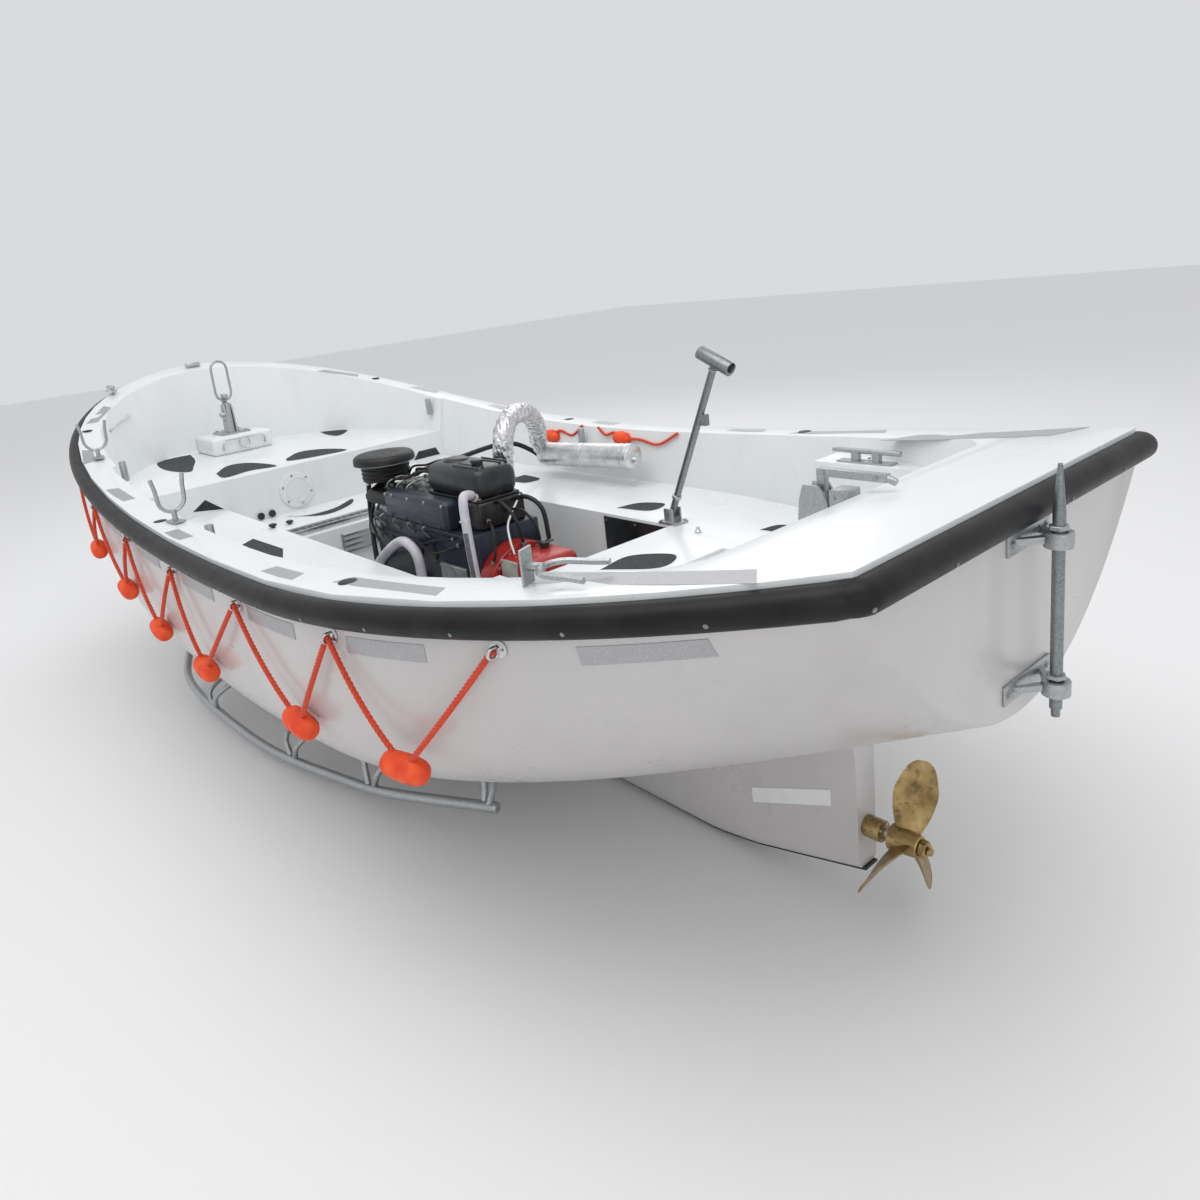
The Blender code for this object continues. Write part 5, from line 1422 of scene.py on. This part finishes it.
def makeDrain():
    parts = [cadCopy("step_channel", stainless, 0.001), block(*drain["bed"], blackPaint, 0.001)]
    (aft, fore), (low, high) = drain["barXs"], drain["barZs"]
    for y in np.linspace(*drain["barYs"], drain["bars"]):
        parts.append(block((aft, y, low), (fore, y + drain["barWide"], high), darkZinc, 0.001))
    (aft, fore), (near, far) = drain["slatXs"], drain["slatYs"]
    for level in drain["slatZs"]:
        parts.append(block((aft, near, level), (fore, far, level + drain["slatHigh"]), stainless, 0.002))
    low, high = drain["postZs"]
    for y in drain["postYs"]:
        parts.append(block((aft, y, low), (fore, y + drain["postWide"], high), stainless, 0.002))
    makePiece("stepDrainChannel", "hull", parts, ["step_channel"])


makeDrain()

# a thin rod inside the port bow, and a small knob by the starboard bench
smallHooks = {
    "stay": ((2.098, 0.775, 0.762), (2.13, 0.745, 0.770), (2.266, 0.686, 0.778), (2.39, 0.59, 0.800),
             (2.415, 0.583, 0.803)),
    "stayRadius": 0.004, "stayEnds": ((2.098, 0.785, 0.757), (2.415, 0.594, 0.798)),
    "endAxis": (-0.2, -1, 0.1),
    "endProfile": ((0, 0.012), (0.003, 0.012), (0.005, 0.006), (0.010, 0.005)),
    "seatHook": (-1.434, -0.467, 0.2955),
    "seatProfile": ((0, 0.012), (0.002, 0.013), (0.006, 0.013), (0.009, 0.009), (0.020, 0.006),
                    (0.024, 0.003)),
}


def makeSmallHooks():
    parts = [sweep(smallHooks["stay"], smallHooks["stayRadius"], stainless, 0.01, 12)]
    for place in smallHooks["stayEnds"]:
        parts.append(turned(smallHooks["endProfile"], stainless, place, smallHooks["endAxis"], 20))
    parts.append(turned(smallHooks["seatProfile"], stainless, smallHooks["seatHook"], (0, 0, 1), 20))
    makePiece("smallInsideHooks", "hull", parts)


makeSmallHooks()
print("stage: hooks, post and fittings made")

bearers = ("engine_bearer_port", "engine_bearer_starboard")
makePiece("engineBearers", "hull", [cadCopy(node, shadeDarkenedGelcoat, 0.004) for node in bearers],
          bearers)

# the block's port face: round plugs, ribs, a bolted cover, a canister and four thin pipes
engineBlock = {
    "plugXs": (-0.44, 0.122, 4), "plugY": 0.162, "plugZ": 0.225,  # first, spacing, how many
    "plug": ((0, 0.030), (0.003, 0.036), (0.007, 0.036), (0.010, 0.028), (0.0105, 0.006)),
    "ribs": (((-0.46, 0.160, 0.262), (0.055, 0.172, 0.276), bluePaint, 0.004),
             ((-0.785, 0.160, 0.318), (0.065, 0.174, 0.350), bluePaint, 0.005),
             ((-0.785, 0.160, -0.070), (0.065, 0.176, -0.045), blackPaint, 0.004),
             ((-0.70, 0.160, 0.06), (-0.50, 0.178, 0.20), bareAlloy, 0.008, 3)),
    "coverXs": (-0.688, -0.60, -0.512), "coverY": 0.178, "coverZs": (0.072, 0.188),
    "sumpXs": (-0.76, 0.04, 11), "sumpY": 0.176, "sumpZ": -0.0575, "bolt": (0.006, 0.004, 0.008),
    "canister": ((0, 0.030), (0.004, 0.034), (0.012, 0.034), (0.015, 0.037), (0.044, 0.037), (0.050, 0.034),
                 (0.052, 0.026)),
    "canisterPlace": (-0.30, 0.165, 0.075), "pipeXs": (-0.04, -0.13, 4), "pipeRadius": 0.004,
    "pipe": ((0, 0.168, 0.30), (0.01, 0.190, 0.335), (-0.006, 0.192, 0.352), (-0.012, 0.176, 0.3595)),
}


def spaced(first, spacing, count):
    return [first + index * spacing for index in range(count)]


def makeEngineBlock():
    parts = [cadCopy("engine_block", bluePaint, 0.009, 3)]
    for x in spaced(*engineBlock["plugXs"]):
        place = (x, engineBlock["plugY"], engineBlock["plugZ"])
        parts.append(turned(engineBlock["plug"], blackPaint, place, (0, 1, 0), 28))
    parts += [block(*rib) for rib in engineBlock["ribs"]]
    bolts = [(x, engineBlock["coverY"], z) for x in engineBlock["coverXs"] for z in engineBlock["coverZs"]]
    bolts += [(x, engineBlock["sumpY"], engineBlock["sumpZ"]) for x in np.linspace(*engineBlock["sumpXs"])]
    parts.append(boltRow(bolts, (0, 1, 0), *engineBlock["bolt"]))
    parts.append(turned(engineBlock["canister"], blackPaint, engineBlock["canisterPlace"], (0, 1, 0), 32))
    for x in spaced(*engineBlock["pipeXs"]):
        pipe = [(x + dx, y, z) for dx, y, z in engineBlock["pipe"]]
        parts.append(sweep(pipe, engineBlock["pipeRadius"], bareAlloy, 0.006, 10))
    makePiece("engineBlockCasting", "hull", parts, ["engine_block"])


makeEngineBlock()

# the cylinder head: fins on its port side, head bolts, injectors with their return pipes, and a hose
head = {
    "fins": (0.378, 0.022, 4), "finXs": (-0.765, 0.008), "finYs": (0.117, 0.1235), "finHigh": 0.006,
    "boltXs": (-0.29, -0.20, -0.11, -0.02), "boltYs": (-0.095, 0.095), "top": 0.4752,
    "bolt": (0.009, 0.009, 0.012), "injectorXs": (-0.245, -0.155, -0.065), "injectorY": 0.03,
    "injector": ((0, 0.014), (0.010, 0.014), (0.012, 0.010), (0.030, 0.010), (0.032, 0.006),
                 (0.038, 0.005)),
    "pipe": ((0, 0.03, 0.505), (0.004, 0.06, 0.516), (0.012, 0.10, 0.510), (0.02, 0.13, 0.49),
             (0.02, 0.1255, 0.455)),
    "pipeRadius": 0.0032,
    "hose": ((-0.34, -0.06, 0.515), (-0.15, -0.07, 0.520), (0.015, -0.075, 0.512), (0.018, -0.075, 0.478)),
    "hoseRadius": 0.007,
}


def makeCylinderHead():
    parts = [cadCopy("engine_head", blackPaint, 0.008, 3)]
    (aft, fore), (near, far) = head["finXs"], head["finYs"]
    for level in spaced(*head["fins"]):
        parts.append(block((aft, near, level), (fore, far, level + head["finHigh"]), blackPaint, 0.002))
    bolts = [(x, y, head["top"]) for x in head["boltXs"] for y in head["boltYs"]]
    parts.append(boltRow(bolts, (0, 0, 1), *head["bolt"], darkZinc))
    for x in head["injectorXs"]:
        place = (x, head["injectorY"], head["top"])
        parts.append(turned(head["injector"], bareAlloy, place, (0, 0, 1), 20))
        pipe = [(x + dx, y, z) for dx, y, z in head["pipe"]]
        parts.append(sweep(pipe, head["pipeRadius"], bareAlloy, 0.006, 10))
    parts.append(sweep(head["hose"], head["hoseRadius"], blackHose, 0.01, 12))
    makePiece("cylinderHead", "hull", parts, ["engine_head"])


makeCylinderHead()

# the rocker cover: flange, raised crown, filler cap, nuts and four ribs
rocker = {
    "flange": ((-0.772, -0.104, 0.4757), (-0.368, 0.104, 0.4875)),
    "crown": ((-0.006, 0.062), (-0.002, 0.062), (0.006, 0.056), (0.012, 0.044), (0.0145, 0.028),
              (0.015, 0.004)),
    "crownPlace": (-0.47, 0.0, 0.613),
    "cap": ((0, 0.024), (0.012, 0.024), (0.014, 0.028), (0.024, 0.028), (0.0265, 0.024), (0.027, 0.004)),
    "capPlace": (-0.68, 0.03, 0.614),
    "boltXs": (-0.755, -0.385), "boltYs": (-0.09, 0.0, 0.09), "boltZ": 0.4875,
    "bolt": (0.006, 0.005, 0.008),
    "ribYs": (-0.075, -0.045, 0.045, 0.075), "ribHalf": 0.004, "ribXs": (-0.745, -0.56),
    "ribZs": (0.605, 0.6195),
}


def makeRockerCover():
    parts = [cadCopy("rocker_cover", blackPaint, 0.016, 4), block(*rocker["flange"], blackPaint, 0.004)]
    parts.append(turned(rocker["crown"], blackPaint, rocker["crownPlace"], (0, 0, 1), 36))
    parts.append(turned(rocker["cap"], blackPaint, rocker["capPlace"], (0, 0, 1), 12))
    bolts = [(x, y, rocker["boltZ"]) for x in rocker["boltXs"] for y in rocker["boltYs"]]
    parts.append(boltRow(bolts, (0, 0, 1), *rocker["bolt"]))
    (aft, fore), (low, high) = rocker["ribXs"], rocker["ribZs"]
    for y in rocker["ribYs"]:
        parts.append(block((aft, y - rocker["ribHalf"], low), (fore, y + rocker["ribHalf"], high), blackPaint,
                           0.0025))
    makePiece("rockerCoverCasting", "hull", parts, ["rocker_cover"])


makeRockerCover()

# the intake manifold and its four stubs
intake = {
    "stubXs": (-0.60, -0.46, -0.32, -0.19), "stubHalf": 0.016, "stubYs": (0.122, 0.2125),
    "stubZs": (0.372, 0.388),
    "boltXs": (-0.64, -0.5, -0.36, -0.22, -0.16), "boltY": 0.2102, "boltZ": 0.475,
    "bolt": (0.005, 0.003, 0.007),
}


def makeIntake():
    parts = [cadCopy("intake_manifold", bluePaint, 0.022, 4)]
    (near, far), (low, high), half = intake["stubYs"], intake["stubZs"], intake["stubHalf"]
    parts += [block((x - half, near, low), (x + half, far, high), bluePaint, 0.005) for x in intake["stubXs"]]
    bolts = [(x, intake["boltY"], intake["boltZ"]) for x in intake["boltXs"]]
    parts.append(boltRow(bolts, (0, 1, 0), *intake["bolt"]))
    makePiece("intakeBody", "hull", parts, ["intake_manifold"])


makeIntake()

# the crank pulley, the alternator's pulley above it, and the belt that runs over both
beltDrive = {
    "crank": ((0, 0.02), (0.001, 0.098), (0.004, 0.101), (0.010, 0.094), (0.016, 0.101), (0.019, 0.098),
              (0.020, 0.02)),
    "crankPlace": (0.096, 0, 0.10),
    "upper": ((0, 0.012), (0.001, 0.044), (0.004, 0.047), (0.010, 0.041), (0.016, 0.047), (0.019, 0.044),
              (0.020, 0.012)),
    "upperPlace": (0.096, 0.135, 0.27),
    "case": ((0, 0.046), (0.003, 0.050), (0.060, 0.050), (0.066, 0.042)), "casePlace": (0.020, 0.135, 0.27),
    "arcs": (((0, 0.10), 0.097, 2.72, 5.50), ((0.135, 0.27), 0.044, -0.78, 2.72)),
    "joint": (0.0002, -0.0004), "beltXs": (0.1015, 0.1105), "beltMiddle": (0.06, 0.18), "beltThick": 0.006,
}


def makeBeltDrive():
    parts = [cadCopy("front_pulley", blackPaint, 0.003)]
    parts.append(turned(beltDrive["crank"], blackPaint, beltDrive["crankPlace"], (1, 0, 0), 48))
    parts.append(turned(beltDrive["upper"], bareAlloy, beltDrive["upperPlace"], (1, 0, 0), 36))
    parts.append(turned(beltDrive["case"], bareAlloy, beltDrive["casePlace"], (1, 0, 0), 36))
    belt = []
    for (y, z), radius, start, end in beltDrive["arcs"]:
        belt += [(y + radius * math.cos(a), z + radius * math.sin(a)) for a in np.linspace(start, end, 20)]
    belt.append((belt[0][0] + beltDrive["joint"][0], belt[0][1] + beltDrive["joint"][1]))
    grid = [[(x, y, z) for x in beltDrive["beltXs"]] for y, z in belt]
    middle = Vector((0, *beltDrive["beltMiddle"]))

    def outOfLoop(point):
        away = point - middle
        return Vector((0, away.y, away.z)).normalized() * beltDrive["beltThick"]

    parts.append(sheet(grid, outOfLoop, blackHose))
    makePiece("frontPulleyAndBelt", "hull", parts, ["front_pulley"])


makeBeltDrive()

# the red housings: bell bolts, a grey side plate, a breather cap and a white cable
gearbox = {
    "bellX": -0.892, "bellCircle": 0.17, "bellCentreZ": 0.11, "bellTurns": (0.3, 2.84, 7),
    "bellBolt": (0.007, 0.005, 0.010),
    "plate": ((-1.01, 0.121, 0.165), (-0.905, 0.131, 0.268)),
    "plateXs": (-1.0, -0.915), "plateY": 0.131, "plateZs": (0.176, 0.257),
    "plateScrew": (0.004, 0.002, 0.005),
    "cap": ((0, 0.018), (0.010, 0.018), (0.012, 0.022), (0.022, 0.022), (0.025, 0.015)),
    "capPlace": (-0.97, -0.05, 0.278), "cableRadius": 0.0045,
    "cable": ((-0.93, 0.075, 0.277), (-0.905, 0.07, 0.33), (-0.86, 0.04, 0.38), (-0.82, -0.02, 0.42),
              (-0.79, -0.09, 0.47)),
}


def makeGearbox():
    parts = [cadCopy("flywheel_housing", redPaint, 0.005, 3), cadCopy("gearbox", redPaint, 0.009, 3)]
    reach, middle = gearbox["bellCircle"], gearbox["bellCentreZ"]
    bolts = [(gearbox["bellX"], reach * math.cos(a), middle + reach * math.sin(a))
             for a in np.linspace(*gearbox["bellTurns"])]
    parts.append(boltRow(bolts, (-1, 0, 0), *gearbox["bellBolt"]))
    parts.append(block(*gearbox["plate"], plateGrey, 0.002))
    screws = [(x, gearbox["plateY"], z) for x in gearbox["plateXs"] for z in gearbox["plateZs"]]
    parts.append(boltRow(screws, (0, 1, 0), *gearbox["plateScrew"], zinc, 12))
    parts.append(turned(gearbox["cap"], blackPaint, gearbox["capPlace"], (0, 0, 1), 20))
    parts.append(sweep(gearbox["cable"], gearbox["cableRadius"], whiteCable, 0.01, 12))
    makePiece("gearboxCasting", "hull", parts, ["flywheel_housing", "gearbox"])


makeGearbox()

airFilter = {
    "lid": ((0, 0.148), (0.012, 0.1492), (0.026, 0.1482), (0.036, 0.142), (0.0405, 0.132), (0.0415, 0.110),
            (0.0405, 0.088), (0.042, 0.080), (0.0425, 0.060), (0.036, 0.050), (0.034, 0.026),
            (0.040, 0.018),
            (0.043, 0.010), (0.0432, 0.003)),
    "x": 0.10, "y": 0.05, "lidZ": 0.5705, "ribZs": (0.505, 0.525, 0.545), "rib": (0.115, 0.0035),
    "clampZ": 0.572, "clamp": (0.1485, 0.0022),
}


def makeAirFilter():
    x, y = airFilter["x"], airFilter["y"]
    parts = [cadCopy("air_filter", blackHose)]
    parts.append(turned(airFilter["lid"], blackHose, (x, y, airFilter["lidZ"]), (0, 0, 1), 64))
    parts += [ringOf((x, y, z), (0, 0, 1), *airFilter["rib"], blackHose, 56, 8) for z in airFilter["ribZs"]]
    parts.append(ringOf((x, y, airFilter["clampZ"]), (0, 0, 1), *airFilter["clamp"], darkZinc, 64, 8))
    makePiece("airFilterHousing", "hull", parts, ["air_filter"])


makeAirFilter()

# the black leads and small hoses that hang about the engine: radius and route
leads = (
    (0.0075, ((-0.76, 0.03, 0.46), (-0.84, 0.04, 0.47), (-0.895, 0.02, 0.40), (-0.90, 0.0, 0.29))),
    (0.0100, ((-0.76, -0.06, 0.45), (-0.85, -0.08, 0.47), (-0.92, -0.10, 0.42), (-0.93, -0.11, 0.28))),
    (0.0060, ((-0.78, 0.08, 0.40), (-0.85, 0.11, 0.38), (-0.875, 0.13, 0.29), (-0.86, 0.14, 0.24))),
    (0.0060, ((-0.79, -0.02, 0.42), (-0.87, -0.03, 0.43), (-0.915, -0.06, 0.36), (-0.92, -0.07, 0.28))),
    (0.0065, ((-0.70, 0.184, 0.31), (-0.52, 0.205, 0.25), (-0.34, 0.200, 0.28), (-0.14, 0.205, 0.20),
              (0.03, 0.182, 0.12), (0.088, 0.12, 0.02))),
    (0.0050, ((-0.66, 0.184, 0.33), (-0.50, 0.200, 0.30), (-0.28, 0.196, 0.23), (-0.10, 0.200, 0.26),
              (0.06, 0.17, 0.30), (0.09, 0.12, 0.38))),
    (0.0085, ((0.03, 0.10, 0.42), (0.115, 0.13, 0.39), (0.125, 0.16, 0.24), (0.09, 0.175, 0.10),
              (0.06, 0.172, 0.0))),
    (0.0110, ((0.03, 0.03, 0.44), (0.14, 0.02, 0.43), (0.19, -0.02, 0.30), (0.16, -0.05, 0.14),
              (0.085, -0.11, 0.02))),
    (0.0060, ((-0.05, 0.13, 0.42), (0.03, 0.165, 0.41), (0.06, 0.188, 0.32), (0.02, 0.186, 0.22),
              (-0.06, 0.178, 0.16))),
    (0.0055, ((-0.35, -0.02, 0.60), (-0.26, -0.03, 0.585), (-0.12, -0.05, 0.55), (0.0, -0.04, 0.53),
              (0.03, -0.02, 0.46))),
    (0.0070, ((-0.36, 0.06, 0.56), (-0.28, 0.075, 0.56), (-0.15, 0.09, 0.52), (0.0, 0.10, 0.50),
              (0.03, 0.10, 0.45))))
ferrule = ((0, 1.1), (0.001, 1.7), (0.012, 1.7), (0.014, 1.1))  # along, and times the lead's radius


def makeLeads():
    parts = [sweep(route, radius, blackHose, 0.008, 14) for radius, route in leads]
    for radius, route in leads:
        profile = [(along, radius * times) for along, times in ferrule]
        for end, after in ((route[0], route[1]), (route[-1], route[-2])):
            way = (Vector(after) - Vector(end)).normalized()
            parts.append(turned(profile, darkZinc, end, way, 12))
    makePiece("engineLeads", "hull", parts)


makeLeads()
print("stage: engine made")

# the exhaust: a flanged pipe in crumpled wrap that climbs over the engine, and the wrapped silencer
exhaust = {
    "route": ((-0.495, -0.22, 0.478), (-0.523, -0.22, 0.615), (-0.511, -0.25, 0.700),
              (-0.451, -0.34, 0.742),
              (-0.370, -0.46, 0.735), (-0.260, -0.60, 0.680), (-0.134, -0.72, 0.590),
              (-0.03, -0.80, 0.500)),
    "radius": 0.045, "wrapSeed": 4, "wrapRelief": 0.010,
    "flange": ((0, 0.034), (0.001, 0.056), (0.003, 0.058), (0.010, 0.058), (0.012, 0.056), (0.0125, 0.034)),
    "flangePlace": (-0.495, -0.22, 0.4705), "boltZ": 0.483, "boltCircle": 0.048,
    "boltTurns": (0.8, 2.37, 3.94, 5.5), "bolt": (0.005, 0.005, 0.007),
    "tie": (0.0455, 0.0022), "tiePlace": (-0.520, -0.222, 0.60), "tieAxis": (0.1, 0, -1),
}
silencer = {
    "start": (0.03, -0.88, 0.412), "end": (-0.66, -0.88, 0.452), "shares": (0.01, 0.34, 0.67, 0.99),
    "radius": 0.0625, "wrapSeed": 9, "wrapRelief": 0.0022, "ties": (0.06, 0.5, 0.94),
    "tie": (0.0622, 0.0022),
}


def crumple(seed, amount):
    # folds of foil from nine waves with random pitch, lobes, phase and weight
    chance = np.random.default_rng(seed)
    waves = [(chance.uniform(30, 190), int(chance.integers(1, 8)), chance.uniform(0, 6.28),
              chance.uniform(0.4, 1.0)) for _ in range(9)]

    def relief(travelled, around):
        height = np.zeros((len(travelled), len(around)))
        for pitch, lobes, phase, weight in waves:
            angles = travelled[:, None] * pitch / 2 + lobes * around[None, :] + phase
            height += weight * np.abs(np.sin(angles))
        return amount * (height / 4.5 - 1.0)
    return relief


def makeExhaust():
    folds = crumple(exhaust["wrapSeed"], exhaust["wrapRelief"])
    x, y, z = exhaust["flangePlace"]
    parts = [sweep(exhaust["route"], exhaust["radius"], foil, 0.004, 56, wrinkle=folds)]
    parts.append(turned(exhaust["flange"], darkZinc, (x, y, z), (0, 0, 1), 32))
    reach = exhaust["boltCircle"]
    bolts = [(x + reach * math.cos(a), y + reach * math.sin(a), exhaust["boltZ"])
             for a in exhaust["boltTurns"]]
    parts.append(boltRow(bolts, (0, 0, 1), *exhaust["bolt"]))
    parts.append(ringOf(exhaust["tiePlace"], exhaust["tieAxis"], *exhaust["tie"], stainless, 40, 8))
    makePiece("wrappedExhaust", "hull", parts, ["exhaust_pipe"], 180.0)
    elbow = [cadCopy("exhaust_elbow", darkZinc)]
    makePiece("exhaustElbowCasting", "hull", elbow, ["exhaust_elbow"])


def makeSilencer():
    start, end = Vector(silencer["start"]), Vector(silencer["end"])
    folds = crumple(silencer["wrapSeed"], silencer["wrapRelief"])
    route = [tuple(start.lerp(end, share)) for share in silencer["shares"]]
    parts = [cadCopy("silencer", wrapFoil, 0.004)]
    parts.append(sweep(route, silencer["radius"], wrapFoil, 0.006, 60, wrinkle=folds))
    for share in silencer["ties"]:
        parts.append(ringOf(start.lerp(end, share), end - start, *silencer["tie"], stainless, 48, 8))
    makePiece("wrappedSilencer", "hull", parts, ["silencer"], 60.0)


makeExhaust()
makeSilencer()

# four hoses with worm-drive clamps: where a clamp sits is a share of the hose's length
hoses = (
    {"name": "coolantHose", "node": "coolant_hose", "slot": "grey_hose", "finish": greyHose, "radius": 0.022,
     "route": ((0.02, 0.255, 0), (-0.04, 0.26, 0.105), (-0.19, 0.26, 0.218), (-0.33, 0.26, 0.288),
               (-0.41, 0.26, 0.285), (-0.465, 0.26, 0.24), (-0.472, 0.258, 0.14), (-0.465, 0.255, 0)),
     "clamps": (0.04, 0.96)},
    {"name": "sightTube", "node": "sight_tube", "slot": "grey_hose", "finish": greyHose, "radius": 0.019,
     "route": ((-0.765, 0.12, 0.505), (-0.785, 0.165, 0.530), (-0.80, 0.20, 0.505), (-0.83, 0.215, 0.30),
               (-0.865, 0.22, 0.02)),
     "clamps": (0.05, 0.30, 0.93)},
    {"name": "fuelHose", "node": "fuel_hose", "slot": "rubber", "finish": blackHose, "radius": 0.012,
     "route": ((0.20, 0.10, 0.487), (0.235, 0.10, 0.34), (0.262, 0.10, 0.12), (0.262, 0.10, -0.10)),
     "clamps": (0.05,)},
    {"name": "silencerHose", "node": "silencer_hose", "slot": "rubber", "finish": blackHose, "radius": 0.013,
     "route": ((0.03, -0.10, 0.425), (0.16, -0.12, 0.448), (0.195, -0.25, 0.464), (0.186, -0.40, 0.474),
               (0.15, -0.62, 0.500), (0.145, -0.76, 0.485), (0.125, -0.85, 0.435), (0.080, -0.88, 0.397),
               (0.0315, -0.885, 0.392)),
     "clamps": (0.03, 0.96)},
)
clampShape = {"halfWide": 0.006, "thick": 0.0016, "wormHalf": 0.009, "wormRadii": (0.0035, 0.0042),
              "wormStand": 0.003}
sightGlass = {"from": 0.38, "to": 0.82, "every": 12, "shift": (-0.004, 0.0075, 0.0), "radius": 0.013}


def hoseRibs(travelled, around):
    return 0.0004 * np.sin(travelled[:, None] * 700) + 0 * around[None, :]


def hoseClamp(path, share, radius):
    index = min(max(int(share * len(path)), 2), len(path) - 3)
    place, way = Vector(path[index]), Vector(path[index + 1] - path[index - 1]).normalized()
    half, outer = clampShape["halfWide"], radius + clampShape["thick"]
    band = [(-half, radius), (-half, outer), (half, outer), (half, radius)]
    out = way.cross(Vector((0, 0, 1)))
    out = (out if out.length > 0.1 else Vector((0, 1, 0))).normalized()
    half, (narrow, wide) = clampShape["wormHalf"], clampShape["wormRadii"]
    worm = [(-half, narrow), (-half, wide), (half, wide), (half, narrow)]
    wormPlace = place + out * (radius + clampShape["wormStand"])
    return [turned(band, stainless, place, way, 28), turned(worm, stainless, wormPlace, way.cross(out), 12)]


def makeHose(name, node, slot, finish, radius, route, clamps):
    parts = [sweep(route, radius, finish, 0.004, 22, wrinkle=hoseRibs)]
    path = smoothPath(route, 0.004)
    for share in clamps:
        parts += hoseClamp(path, share, radius)
    if name == "sightTube":
        window = path[int(sightGlass["from"] * len(path)):int(sightGlass["to"] * len(path))]
        line = [tuple(point + np.array(sightGlass["shift"])) for point in window[::sightGlass["every"]]]
        parts.append(sweep(line, sightGlass["radius"], sightWindow, 0.006, 16))
    makePiece(name, "hull", parts, [node], 60.0)


for hose in hoses:
    makeHose(**hose)
print("stage: exhaust and hoses made")

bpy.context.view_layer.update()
